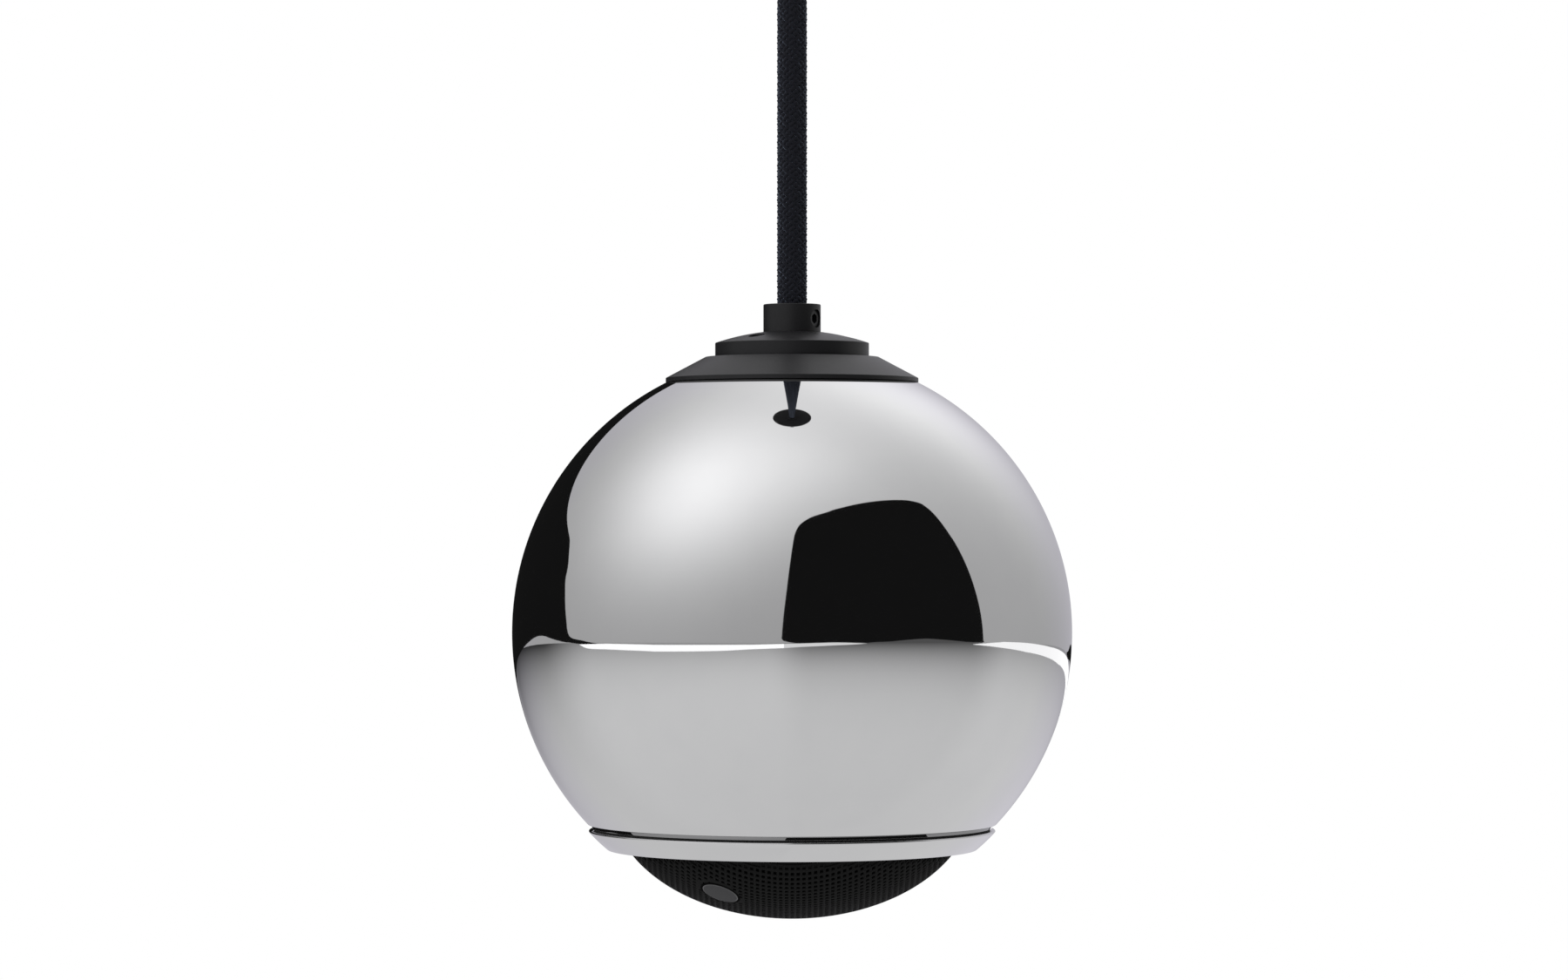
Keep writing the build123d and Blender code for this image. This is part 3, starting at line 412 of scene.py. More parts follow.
def polar(radius, azimuth, z):
    """A point in metres from a radius, an azimuth in degrees and a height, in millimetres."""
    return (radius * cos(radians(azimuth)) * MM, radius * sin(radians(azimuth)) * MM, z * MM)


def cap_bore(azimuth, low_z, high_z, radius):
    """The drill for one cap screw, between two heights above the ball's centre, in millimetres."""
    low, high = (polar(CAP_SCREW_RING_R, azimuth, BALL_Z + z) for z in (low_z, high_z))
    return low, high, radius * MM


chrome = grained(
    "chrome", (140.0, 5.0), (0.645, 0.645, 0.655), (0.675, 0.675, 0.68), (0.012, 0.035), metallic=1.0
)

inner_r = BALL_R - SHELL_T
mouth_inner_r = sqrt(inner_r**2 - MOUTH_Z**2)
pole_r = STEM_R + POLE_PLAY
outside = arc(BALL_R, 0, MOUTH_R, BALL_R, 64, under=True)[:-1] + arc(BALL_R, 0, BALL_R, pole_r, 96)
inside = arc(inner_r, 0, pole_r, inner_r, 48)[:-1] + arc(inner_r, 0, inner_r, mouth_inner_r, 32, under=True)
rim = (*outside[0], MOUTH_ROUND)
ball_outline = eased([rim] + outside[2:] + inside)
ball = turned("chrome_ball", ball_outline, BALL_Z, chrome)
shell_bores = [cap_bore(azimuth, *SHELL_BORE_Z, CAP_SCREW_BORE_R) for azimuth in CAP_SCREW_AZIMUTHS]
drilled(ball, shell_bores, sides=24)
belongs(ball, "mirror_chrome", "ball_shell")


# Gap under the ball: a steel ring soldered inside the mouth, which takes the front ring's spigot.
# Its short neck shows below the mouth, chrome plated and painted darker as shade in the gap, above a thin
# black foam gasket.
gasket_foam = grained(
    "gasket_foam", (2600.0, 3.0), (0.006, 0.006, 0.006), (0.020, 0.020, 0.020), 0.85, relief=0.00012
)
zinc = grained("zinc_plate", (420.0, 5.0), (0.46, 0.47, 0.48), (0.60, 0.61, 0.62), (0.26, 0.46), metallic=1.0)


def dress(material, *names):
    """A CAD node keeps its shape and gets a finish."""
    for name in names:
        slots = nodes[name].material_slots
        if not slots:
            nodes[name].data.materials.append(material)
        for material_slot in nodes[name].material_slots:
            material_slot.material = material


dress(gasket_foam, "gap_gasket", "collar_gasket", "driver_gasket")
dress(zinc, "nut_plate", "gland_nut", "cord_ferrule")

NECK_R = RING_TOP_R - 1.15
NECK_H = 0.75
NECK_FLARE = 0.034
NECK_SWELL = 0.012
SPIGOT_R = RING_TOP_R - 3.8
MOUTH_RING_H = 4.2
MOUTH_RING_R = SPIGOT_R + 0.05
ring_seat_r = inner_r - 0.1
neck_corners = [
    (MOUTH_RING_R, MOUTH_Z - NECK_H),
    (NECK_R + NECK_FLARE, MOUTH_Z - NECK_H, 0.03),
    (NECK_R + NECK_FLARE / 2 + NECK_SWELL * 0.75, MOUTH_Z - NECK_H * 0.75),
    (NECK_R + NECK_SWELL, MOUTH_Z - NECK_H * 0.5),
    (NECK_R - NECK_FLARE / 2 + NECK_SWELL * 0.75, MOUTH_Z - NECK_H * 0.25),
    (NECK_R - NECK_FLARE, MOUTH_Z),
    (sqrt(ring_seat_r**2 - MOUTH_Z**2), MOUTH_Z),
    (sqrt(ring_seat_r**2 - (MOUTH_Z + MOUTH_RING_H) ** 2), MOUTH_Z + MOUTH_RING_H),
    (MOUTH_RING_R, MOUTH_Z + MOUTH_RING_H),
]
# Painted shade: the neck's chrome is darker than the ball's, for the shade in the gap between ball and ring.
gap_chrome_painted_shade = grained(
    "gap_chrome_painted_shade", (140.0, 5.0), (0.385, 0.385, 0.395), (0.415, 0.415, 0.42), (0.015, 0.04), metallic=1.0
)
mouth_neck = turned("chrome_mouth_neck", eased(neck_corners), BALL_Z, gap_chrome_painted_shade)
belongs(mouth_neck, "mirror_chrome", "mouth_ring")


# Front ring: turned steel with a slightly bulged face, chrome plated like the ball.
# Its spigot screws into the mouth ring, and its lip holds the grille's flange.
GAP = 1.2
RING_H = 4.4
RING_TAPER = 4.55
RING_LIP_T = 2.0
SPIGOT_H = 5.0
SPIGOT_T = 1.75
RING_TOP_Z = MOUTH_Z - GAP
RING_FOOT_Z = RING_TOP_Z - RING_H
RING_FOOT_R = RING_TOP_R - RING_TAPER
SPIGOT_BORE_R = SPIGOT_R - SPIGOT_T
SPIGOT_TOP_Z = RING_TOP_Z + SPIGOT_H
LIP_TOP_Z = RING_FOOT_Z + RING_LIP_T
FLANGE_R = SPIGOT_BORE_R - 0.3
GRILLE_FLANGE_W = 3.6
GRILLE_RIM_R = FLANGE_R - GRILLE_FLANGE_W
MOUTH_BORE_R = GRILLE_RIM_R + 0.3
RING_BULGE = 0.12
foot = Vector((RING_FOOT_R, RING_FOOT_Z))
top = Vector((RING_TOP_R, RING_TOP_Z))
chord = top - foot
outward = Vector((chord.y, -chord.x)).normalized()
face = []
for i in range(13):
    t = i / 12
    point = foot + chord * t + outward * (4 * RING_BULGE * t * (1 - t))
    face.append((point.x, point.y))
ring_corners = [(*face[0], 0.3)] + face[2:-2] + [
    (*face[-1], 0.3),
    (SPIGOT_R, RING_TOP_Z),
    (SPIGOT_R, SPIGOT_TOP_Z, 0.3),
    (SPIGOT_BORE_R, SPIGOT_TOP_Z, 0.3),
    (SPIGOT_BORE_R, LIP_TOP_Z),
    (MOUTH_BORE_R, LIP_TOP_Z, 0.15),
    (MOUTH_BORE_R, RING_FOOT_Z, 0.15),
]
front_ring = turned("chrome_front_ring", eased(ring_corners), BALL_Z, chrome)
belongs(front_ring, "mirror_chrome", "front_ring")


# Grille: a dome pressed from finely punched steel sheet, painted matt black.
# Its flat flange is clamped between the front ring's lip and the driver.
GRILLE_B = 26.8
GRILLE_DEPTH = 15.1
GRILLE_Z = RING_FOOT_Z - GRILLE_DEPTH + GRILLE_B
GRILLE_A = GRILLE_RIM_R / sqrt(1 - ((RING_FOOT_Z - GRILLE_Z) / GRILLE_B) ** 2)
GRILLE_T = 0.8
MESH_PITCH = 1.25
MESH_T = 0.35
HOLE_SHARE = 0.56
BAND_R = GRILLE_RIM_R - 1.4
BAND_LAP = 0.7
SHEET_INSET = 0.05

mesh_black = grained(
    "mesh_black", (1800.0, 4.0), (0.009, 0.009, 0.009), (0.015, 0.015, 0.015), (0.58, 0.75),
    relief=0.00003, specular=0.02,
)

tree, wanted, end = new_tree("punched_dome", {
    "Half Width": 0.04,
    "Half Height": 0.027,
    "Centre Z": 0.0,
    "Mesh Radius": 0.035,
    "Pitch": 0.0012,
    "Hole Share": 0.6,
    "Badge X": 0.0,
    "Badge Y": 0.0,
    "Badge Radius": 0.004,
    "Seat Radius": 0.0035,
})
width = calc(tree, "MULTIPLY", wanted["Mesh Radius"], 2.0)
cells_across = calc(tree, "CEIL", calc(tree, "DIVIDE", width, wanted["Pitch"]))
span = calc(tree, "MULTIPLY", cells_across, wanted["Pitch"])
stops = calc(tree, "ADD", cells_across, 1.0)
grid = add(tree, "GeometryNodeMeshGrid", {
    "Size X": span, "Size Y": span, "Vertices X": stops, "Vertices Y": stops,
})
where = add(tree, "ShaderNodeSeparateXYZ", {0: add(tree, "GeometryNodeInputPosition").outputs[0]})
x, y = where.outputs[0], where.outputs[1]
from_axis = calc(tree, "SQRT", calc(tree, "ADD", calc(tree, "MULTIPLY", x, x), calc(tree, "MULTIPLY", y, y)))
beyond = calc(tree, "GREATER_THAN", from_axis, wanted["Mesh Radius"])
disc = add(tree, "GeometryNodeDeleteGeometry", {
    "Geometry": grid.outputs[0], "Selection": beyond,
}, domain="FACE")
squares = [
    calc(tree, "POWER", calc(tree, "SUBTRACT", place, wanted[badge_place]), 2.0)
    for place, badge_place in ((x, "Badge X"), (y, "Badge Y"))
]
to_badge = calc(tree, "SQRT", calc(tree, "ADD", *squares))
open_cell = calc(tree, "GREATER_THAN", to_badge, wanted["Badge Radius"])
# The sheet is cut away under the badge, which sits in the opening.
seated = calc(tree, "LESS_THAN", to_badge, wanted["Seat Radius"])
sheet = add(tree, "GeometryNodeDeleteGeometry", {
    "Geometry": disc.outputs[0], "Selection": seated,
}, domain="FACE")
stamped = add(tree, "GeometryNodeExtrudeMesh", {"Mesh": sheet.outputs[0], "Offset Scale": 0.0}, mode="FACES")
stamped.inputs["Individual"].default_value = True
stamped.inputs["Selection"].default_value = True
shrunk = add(tree, "GeometryNodeScaleElements", {
    "Geometry": stamped.outputs["Mesh"], "Selection": stamped.outputs["Top"], "Scale": wanted["Hole Share"],
})
chosen = add(tree, "FunctionNodeBooleanMath", {0: stamped.outputs["Top"], 1: open_cell}, operation="AND")
punched = add(tree, "GeometryNodeDeleteGeometry", {
    "Geometry": shrunk.outputs[0], "Selection": chosen.outputs[0],
}, domain="FACE")
ratio = calc(tree, "DIVIDE", from_axis, wanted["Half Width"])
drop = calc(tree, "SQRT", calc(tree, "SUBTRACT", 1.0, calc(tree, "MULTIPLY", ratio, ratio)))
sheet_z = calc(tree, "SUBTRACT", wanted["Centre Z"], calc(tree, "MULTIPLY", wanted["Half Height"], drop))
domed = add(tree, "GeometryNodeSetPosition", {
    "Geometry": punched.outputs[0],
    "Position": add(tree, "ShaderNodeCombineXYZ", {0: x, 1: y, 2: sheet_z}).outputs[0],
})
finish_tree(tree, end, domed.outputs[0], mesh_black)

BADGE_R = GRILLE_RIM_R - 8.95
SEAT_LAP = 0.45
BADGE_AZIMUTH = -125.0
BADGE_D = 8.1
badge_x = BADGE_R * cos(radians(BADGE_AZIMUTH))
badge_y = BADGE_R * sin(radians(BADGE_AZIMUTH))
grille = grown("punched_grille", tree, {
    "Half Width": (GRILLE_A - SHEET_INSET) * MM,
    "Half Height": (GRILLE_B - SHEET_INSET) * MM,
    "Centre Z": (BALL_Z + GRILLE_Z) * MM,
    "Mesh Radius": (BAND_R + BAND_LAP) * MM,
    "Pitch": MESH_PITCH * MM,
    "Hole Share": HOLE_SHARE,
    "Badge X": badge_x * MM,
    "Badge Y": badge_y * MM,
    "Badge Radius": (BADGE_D / 2 + SEAT_LAP * MESH_PITCH) * MM,
    "Seat Radius": (BADGE_D / 2 - SEAT_LAP) * MM,
})
for face in grille.data.polygons:
    face.use_smooth = True
wall = grille.modifiers.new("wall", "SOLIDIFY")
wall.thickness = MESH_T * MM
wall.offset = -1.0
grille.data = settled(grille)
belongs(grille, "black_mesh", "grille_dome")


def dome_arc(shrink, from_r, to_r, steps):
    """Points down the dome's outline between two radii, its half-axes less by the given amount."""
    a, b = GRILLE_A - shrink, GRILLE_B - shrink
    stops = [from_r + (to_r - from_r) * i / steps for i in range(steps + 1)]
    return [(r, GRILLE_Z - b * sqrt(max(1 - (r / a) ** 2, 0.0))) for r in stops]


band_outer = dome_arc(0.0, BAND_R, GRILLE_RIM_R, 6)
band_inner = dome_arc(GRILLE_T, GRILLE_RIM_R - GRILLE_T - 0.05, BAND_R, 6)
band_corners = band_outer + [
    (GRILLE_RIM_R, LIP_TOP_Z),
    (FLANGE_R, LIP_TOP_Z, 0.1),
    (FLANGE_R, LIP_TOP_Z + GRILLE_T, 0.1),
    (GRILLE_RIM_R - GRILLE_T, LIP_TOP_Z + GRILLE_T, 0.3),
] + band_inner
grille_rim = turned("grille_rim", eased(band_corners), BALL_Z, mesh_black, sides=192)
belongs(grille_rim, "black_mesh", "grille_dome")


def lines(scale, axes, meeting="MULTIPLY"):
    """A pattern of fine lines across one or two axes, in Object coordinates, for a finish."""
    def pattern(tree):
        place = add(tree, "ShaderNodeTexCoord").outputs["Object"]
        sockets = {"Vector": place, "Scale": scale}
        waves = [
            add(tree, "ShaderNodeTexWave", sockets, wave_type="BANDS", bands_direction=axis).outputs["Fac"]
            for axis in axes
        ]
        return calc(tree, meeting, *waves) if len(waves) == 2 else waves[0]
    return pattern


# A fine black gauze is pressed into the dome behind the holes and hides the driver.
gauze_black = grained(
    "gauze_black", lines(900.0, "XY", "MAXIMUM"), (0.006, 0.006, 0.006), (0.020, 0.020, 0.020), 0.9,
    relief=0.00004, specular=0.02,
)
GAUZE_SINK = 0.42
GAUZE_T = 0.2
gauze_outline = dome_arc(GAUZE_SINK, 0.0, BAND_R - 0.6, 24)
gauze_outline += reversed(dome_arc(GAUZE_SINK + GAUZE_T, 0.0, BAND_R - 0.6, 24))
gauze_dome = turned("grille_gauze", gauze_outline, BALL_Z, gauze_black, sides=192)
belongs(gauze_dome, "black_mesh", "grille_dome")


# Badge: a small dark anodised disc, left blank, whose edge is given brighter metal than its face as a painted
# highlight.
# It is pressed into a shallow seat in the dome, square to the sheet, inside a thin near-black ring that is
# painted shadow along its edge.
badge_metal = grained(
    "badge_metal", (5000.0, 3.0), (0.012, 0.012, 0.013), (0.018, 0.018, 0.019), (0.34, 0.46),
    metallic=0.5, relief=0.00001, specular=0.08,
)
# Painted highlight: the badge's edge is brighter metal than its face, so that its rim shows bright.
edge_painted_highlight = grained(
    "edge_painted_highlight", (4000.0, 3.0), (0.07, 0.07, 0.072), (0.10, 0.10, 0.103), (0.24, 0.38), metallic=0.9
)
# Painted shadow: a near-black ring round the badge stands for the shade line at its edge.
painted_shadow_black = grained(
    "painted_shadow_black", (3000.0, 3.0), (0.0004, 0.0004, 0.0004), (0.0012, 0.0012, 0.0012), 0.9, specular=0.03
)
BADGE_PROUD = 0.25
BADGE_DEEP = 0.8
EDGE_W = 0.2
SHADOW_RING_W = 0.5
badge_edge_r = BADGE_D / 2
face_corners = [
    (0.0, -BADGE_DEEP),
    (badge_edge_r - EDGE_W, -BADGE_DEEP),
    (badge_edge_r - EDGE_W, BADGE_PROUD),
    (0.0, BADGE_PROUD + 0.03),
]
edge_corners = [
    (badge_edge_r - EDGE_W, -BADGE_DEEP),
    (badge_edge_r, -BADGE_DEEP),
    (badge_edge_r, BADGE_PROUD, 0.17),
    (badge_edge_r - EDGE_W, BADGE_PROUD),
]
shadow_ring_corners = [
    (badge_edge_r, -BADGE_DEEP),
    (badge_edge_r + SHADOW_RING_W, -BADGE_DEEP),
    (badge_edge_r + SHADOW_RING_W, 0.14, 0.05),
    (badge_edge_r, 0.17, 0.05),
]
badge_seat_z = GRILLE_Z - GRILLE_B * sqrt(1 - (BADGE_R / GRILLE_A) ** 2)
slope = (GRILLE_B / GRILLE_A) ** 2
square = Vector((badge_x * slope, badge_y * slope, badge_seat_z - GRILLE_Z)).normalized()
seat = Matrix.Translation(Vector((badge_x, badge_y, BALL_Z + badge_seat_z)) * MM)
for name, corners, finish, slot in (
    ("badge_disc", face_corners, badge_metal, "graphite_badge"),
    ("badge_edge", edge_corners, edge_painted_highlight, "graphite_badge"),
    ("badge_painted_shadow_ring", shadow_ring_corners, painted_shadow_black, "black_mesh"),
):
    badge = turned(name, eased(corners), 0.0, finish, sides=96)
    badge.data.transform(seat @ square.to_track_quat("Z", "Y").to_matrix().to_4x4())
    belongs(badge, slot, "badge")


# Collar: a flared skirt, a domed cap and a gland, turned from bar and coloured matt black.
# The gland's hollow stem goes through all of them and is drawn down by a nut inside the ball.
SEAT_R = BALL_R + 0.6
CAP_SEAT_R = 14.12
SKIRT_TOP_Z = sqrt(SEAT_R**2 - CAP_SEAT_R**2)
SKIRT_BORE_R = 15.6
SKIRT_NECK_R = 19.4
SKIRT_R = 28.25
SKIRT_FOOT_Z = sqrt(BALL_R**2 - SKIRT_R**2) + 0.12
SKIRT_LIP_Z = SKIRT_FOOT_Z + 0.93
SKIRT_T = 1.2
CAP_R = 17.2
CAP_TOP_Z = SKIRT_TOP_Z + 3.15
CAP_DOME_R = 53.5
CAP_DOME_Z = CAP_TOP_Z - sqrt(CAP_DOME_R**2 - CAP_R**2)
GLAND_R = 6.42
GLAND_SEAT_R = GLAND_R + 0.15
GLAND_Z = CAP_DOME_Z + sqrt(CAP_DOME_R**2 - GLAND_SEAT_R**2) - 0.23
GLAND_TOP_Z = GLAND_Z + 6.45
GRUB_R = 2.05
GRUB_AZIMUTH = -31.2
GRUB_DROP = 3.3
STEM_LEN = 14.35
CAP_BORE_R = 1.2
CAP_SINK_R = 1.85
CAP_SINK_DEPTH = 3.0
CAP_BORE_FOOT_Z = 55
CAP_BORE_TOP_Z = 72
CAP_STEM_R = STEM_R + 0.2
CORD_BORE_R = 3.55

turned_black = grained(
    "turned_black", (6500.0, 4.0), (0.006, 0.006, 0.007), (0.011, 0.011, 0.012), (0.34, 0.48),
    relief=0.000012, specular=0.28,
)

relief_r = BALL_R + 0.1
foot_cut_r = sqrt(relief_r**2 - SKIRT_FOOT_Z**2)
flare = (SKIRT_TOP_Z - SKIRT_LIP_Z) / (SKIRT_R - SKIRT_NECK_R)
inner_top_z = SKIRT_TOP_Z - SKIRT_T
inner_shoulder_r = SKIRT_R - SKIRT_T - (inner_top_z - SKIRT_LIP_Z) / flare
skirt_corners = [
    (SKIRT_BORE_R, SKIRT_TOP_Z),
    (SKIRT_NECK_R, SKIRT_TOP_Z, 0.2),
    (SKIRT_R, SKIRT_LIP_Z, 0.22),
    (SKIRT_R, SKIRT_FOOT_Z, 0.12),
] + arc(relief_r, 0, foot_cut_r, SKIRT_R - SKIRT_T, 4) + [
    (SKIRT_R - SKIRT_T, SKIRT_LIP_Z),
    (inner_shoulder_r, inner_top_z),
] + arc(relief_r, 0, sqrt(relief_r**2 - inner_top_z**2), SKIRT_BORE_R, 6)
skirt = turned("collar_skirt_turned", eased(skirt_corners), BALL_Z, turned_black)
belongs(skirt, "black_turned", "collar_skirt")

cap_corners = (
    arc(SEAT_R, 0, CAP_SEAT_R, CAP_STEM_R, 10)
    + [(CAP_STEM_R, GLAND_Z), (GLAND_SEAT_R, GLAND_Z)]
    + arc(CAP_DOME_R, CAP_DOME_Z, GLAND_SEAT_R, CAP_R - 0.6, 24)
    + [(CAP_R, CAP_TOP_Z, 0.2), (CAP_R, SKIRT_TOP_Z)]
)
cap = turned("collar_cap_turned", eased(cap_corners), BALL_Z, turned_black)
cap_seat_z = CAP_DOME_Z + sqrt(CAP_DOME_R**2 - CAP_SCREW_RING_R**2) - CAP_SINK_DEPTH
for low_z, radius in ((CAP_BORE_FOOT_Z, CAP_BORE_R), (cap_seat_z, CAP_SINK_R)):
    for azimuth in CAP_SCREW_AZIMUTHS:
        drilled(cap, [cap_bore(azimuth, low_z, CAP_BORE_TOP_Z, radius)])
belongs(cap, "black_turned", "collar_cap")

gland_corners = [
    (CORD_BORE_R, GLAND_Z - STEM_LEN),
    (STEM_R, GLAND_Z - STEM_LEN, 0.2),
    (STEM_R, GLAND_Z),
    (GLAND_R, GLAND_Z, 0.05),
    (GLAND_R, GLAND_TOP_Z, 0.25),
    (CORD_BORE_R, GLAND_TOP_Z, 0.15),
]
gland = turned("cord_gland_turned", eased(gland_corners), BALL_Z, turned_black, sides=160)
grub_z = BALL_Z + GLAND_TOP_Z - GRUB_DROP
drilled(gland, [(polar(0.0, 0.0, grub_z), polar(2 * GLAND_R, GRUB_AZIMUTH, grub_z), GRUB_R * MM)])
belongs(gland, "black_turned", "cord_gland")

screw_black = grained(
    "screw_black", (3500.0, 4.0), (0.014, 0.014, 0.015), (0.032, 0.032, 0.034), (0.26, 0.44), metallic=0.7
)
dress(screw_black, "gland_grub_screw", "cap_screws", "grip_grub_screw", "cup_side_screws", "driver_screws")


# Damping felt: a band of white wool felt glued inside the shell.
# It is cut from 7 mm sheet, so its fibres lie every way.
felt = grained(
    "wool_felt", (1400.0, 6.0), (0.50, 0.49, 0.46), (0.72, 0.71, 0.68), 0.95, relief=0.0004, sheen=0.4
)
dress(felt, "damping_felt")


# Driver: a 3 inch full-range unit facing down, with a black pressed basket.
# Its ferrite ring sits between two zinc plated steel plates, held to the basket.
basket_black = grained(
    "basket_black", (2200.0, 4.0), (0.013, 0.013, 0.014), (0.026, 0.026, 0.027), (0.4, 0.62), relief=0.00006
)
dress(basket_black, "basket")
ferrite = grained("ferrite", (1500.0, 5.0), (0.040, 0.040, 0.042), (0.075, 0.075, 0.078), 0.7, relief=0.0001)
dress(ferrite, "magnet_ring")
dress(zinc, "top_plate", "back_plate")


# Cone and coil: a black pulp cone and cap on an amber film former with a copper winding.
# They move together in the gap of the magnet, between the surround and the spider.
cone_pulp = grained(
    "cone_pulp", (900.0, 6.0), (0.009, 0.009, 0.010), (0.024, 0.024, 0.025), 0.82, relief=0.00015
)
dress(cone_pulp, "cone", "dust_cap")
amber = grained("amber_film", (600.0, 2.0), (0.36, 0.15, 0.02), (0.52, 0.25, 0.05), 0.35)
dress(amber, "voice_coil_former")
copper = grained(
    "copper_winding", lines(1600.0, "Z"), (0.40, 0.14, 0.06), (0.72, 0.34, 0.17), 0.3,
    metallic=1.0, relief=0.0001,
)
dress(copper, "voice_coil")


# Suspension: a rubber roll surround in front and a dipped cotton spider behind.
# Both are glued to the basket outside and to the moving parts inside.
roll_rubber = grained("roll_rubber", (500.0, 4.0), (0.009, 0.009, 0.009), (0.018, 0.018, 0.018), (0.38, 0.55))
dress(roll_rubber, "surround")
spider_cloth = grained(
    "spider_cloth", lines(700.0, "XY"), (0.34, 0.18, 0.04), (0.58, 0.37, 0.12), 0.8, relief=0.0001
)
dress(spider_cloth, "spider")


# Terminals and leads: a fibre board with two brass tabs, and soldered PVC leads.
# The leads come from the cord's end and pass outside the magnet to the tabs.
fibre_board = grained(
    "fibre_board", (800.0, 4.0, (1.0, 6.0, 1.0)), (0.10, 0.04, 0.015), (0.19, 0.09, 0.04), 0.6
)
dress(fibre_board, "terminal_board")
brass = grained(
    "tinned_brass", (900.0, 4.0), (0.52, 0.40, 0.18), (0.70, 0.60, 0.38), (0.22, 0.42), metallic=1.0
)
dress(brass, "terminal_tabs")
lead_red = grained("lead_insulation", (700.0, 3.0), (0.10, 0.009, 0.009), (0.15, 0.018, 0.018), 0.45)
dress(lead_red, "driver_leads", "ceiling_leads")


# Ceiling end: a turned black cup over a zinc plated plate screwed to the ceiling.
# The cup hangs on two side screws, and a grip screwed through its foot clamps the cord.
CUP_R = 27.5
CUP_H = 25.0
CUP_T = 1.2
GRIP_R = 6.3
GRIP_FOOT_Z = -30.0
GRIP_GRUB_Z = -27.5
GRIP_STEM_LEN = 8.0
SIDE_SCREW_Z = -5.0
SIDE_BORE_R = 1.45
CUP_BORE_R = 5.1
CUP_RIM_Z = -0.4
cup_corners = [
    (CUP_BORE_R, -CUP_H, 0.1),
    (CUP_R, -CUP_H, 1.8),
    (CUP_R, CUP_RIM_Z, 0.1),
    (CUP_R - CUP_T, CUP_RIM_Z, 0.1),
    (CUP_R - CUP_T, CUP_T - CUP_H, 0.4),
    (CUP_BORE_R, CUP_T - CUP_H),
]
cup = turned("ceiling_cup_turned", eased(cup_corners, steps=8), 0.0, turned_black, sides=192)
for side in (-1, 1):
    bore = [polar(radius, 90 * side, SIDE_SCREW_Z) for radius in (CUP_R - 4, CUP_R + 4)]
    drilled(cup, [(*bore, SIDE_BORE_R * MM)], sides=32)
belongs(cup, "black_turned", "ceiling_cup")
grip_corners = [
    (CORD_BORE_R, GRIP_FOOT_Z, 0.15),
    (GRIP_R, GRIP_FOOT_Z, 0.25),
    (GRIP_R, -CUP_H, 0.05),
    (STEM_R, -CUP_H),
    (STEM_R, GRIP_STEM_LEN - CUP_H, 0.2),
    (CORD_BORE_R, GRIP_STEM_LEN - CUP_H),
]
grip = turned("cord_grip_turned", eased(grip_corners), 0.0, turned_black, sides=160)
drilled(grip, [(polar(0.0, 0.0, GRIP_GRUB_Z), polar(2 * GRIP_R, 90, GRIP_GRUB_Z), GRUB_R * MM)])
belongs(grip, "black_turned", "cord_grip")
dress(zinc, "ceiling_plate", "grip_nut", "terminal_screws", "block_screw")
nylon = grained("white_nylon", (300.0, 3.0), (0.64, 0.64, 0.62), (0.72, 0.72, 0.70), 0.5)
dress(nylon, "terminal_block")


# Studio: a white sweep all round, whose lower half is a pale floor, and dark and white cards.
# The cards are what the polished ball shows; the camera doesn't see them.
CHROME_TONE = 0.66
CARD_FAR = 8.0
IN_FRONT = 0.03
WHITE = (1.0, 1.0, 1.0, 1.0)


def direction(azimuth, elevation):
    """A unit vector; azimuth in degrees to the right of the way to the camera, elevation up."""
    a, e = radians(azimuth), radians(elevation)
    return Vector((sin(a) * cos(e), -cos(a) * cos(e), sin(e)))


def glow(name, level):
    """A card's plain shine, given as the level that the chrome shows it at."""
    material = bpy.data.materials.new(name)
    material.use_nodes = True
    tree = material.node_tree
    tree.nodes.clear()
    shine = add(tree, "ShaderNodeEmission", {"Strength": level / CHROME_TONE, "Color": WHITE})
    out = tree.nodes.new("ShaderNodeOutputMaterial")
    tree.links.new(shine.outputs[0], out.inputs["Surface"])
    return material


def flowing(before, here, there, after, t):
    """A point on the smooth line through a card's stops, between two of them."""
    point = []
    for p, q, r, s in zip(before, here, there, after):
        point.append(q + t / 2 * (r - p + t * (2 * p - 5 * q + 4 * r - s + t * (3 * (q - r) + s - p))))
    return point


def card(name, stops, material, rows=6, nearer=0.0):
    """A card on a far sphere round the ball, from stops of (azimuth, low elevation, high elevation)."""
    ends = [stops[0], *stops, stops[-1]]
    fine = []
    for before, here, there, after in zip(ends, ends[1:], ends[2:], ends[3:]):
        steps = max(4, ceil(abs(there[0] - here[0]) / 2.0))
        for i in range(steps):
            fine.append(flowing(before, here, there, after, i / steps))
    fine.append(stops[-1])
    shape = bmesh.new()
    centre = Vector((0.0, 0.0, BALL_Z * MM))
    columns = []
    for a, low, high in fine:
        heights = [low + (high - low) * k / rows for k in range(rows + 1)]
        columns.append([shape.verts.new(centre + direction(a, e) * (CARD_FAR - nearer)) for e in heights])
    for near, far in zip(columns, columns[1:]):
        for k in range(rows):
            shape.faces.new((near[k], far[k], far[k + 1], near[k + 1]))
    mesh = bpy.data.meshes.new(name)
    shape.to_mesh(mesh)
    shape.free()
    mesh.materials.append(material)
    piece = new_piece(name, mesh)
    piece.visible_camera = False
    piece.visible_diffuse = False
    piece.visible_shadow = False
    piece.visible_transmission = False
    return piece


def between(stops_high, stops_low):
    """Card stops from an upper edge and a lower edge, each a list of (azimuth, elevation)."""
    def level(edge, a):
        for (a0, e0), (a1, e1) in zip(edge, edge[1:]):
            if a0 <= a <= a1:
                return e0 + (e1 - e0) * (a - a0) / (a1 - a0)
        return edge[0][1] if a < edge[0][0] else edge[-1][1]
    azimuths = sorted({a for a, _ in stops_high} | {a for a, _ in stops_low})
    return [(a, level(stops_low, a), level(stops_high, a)) for a in azimuths]


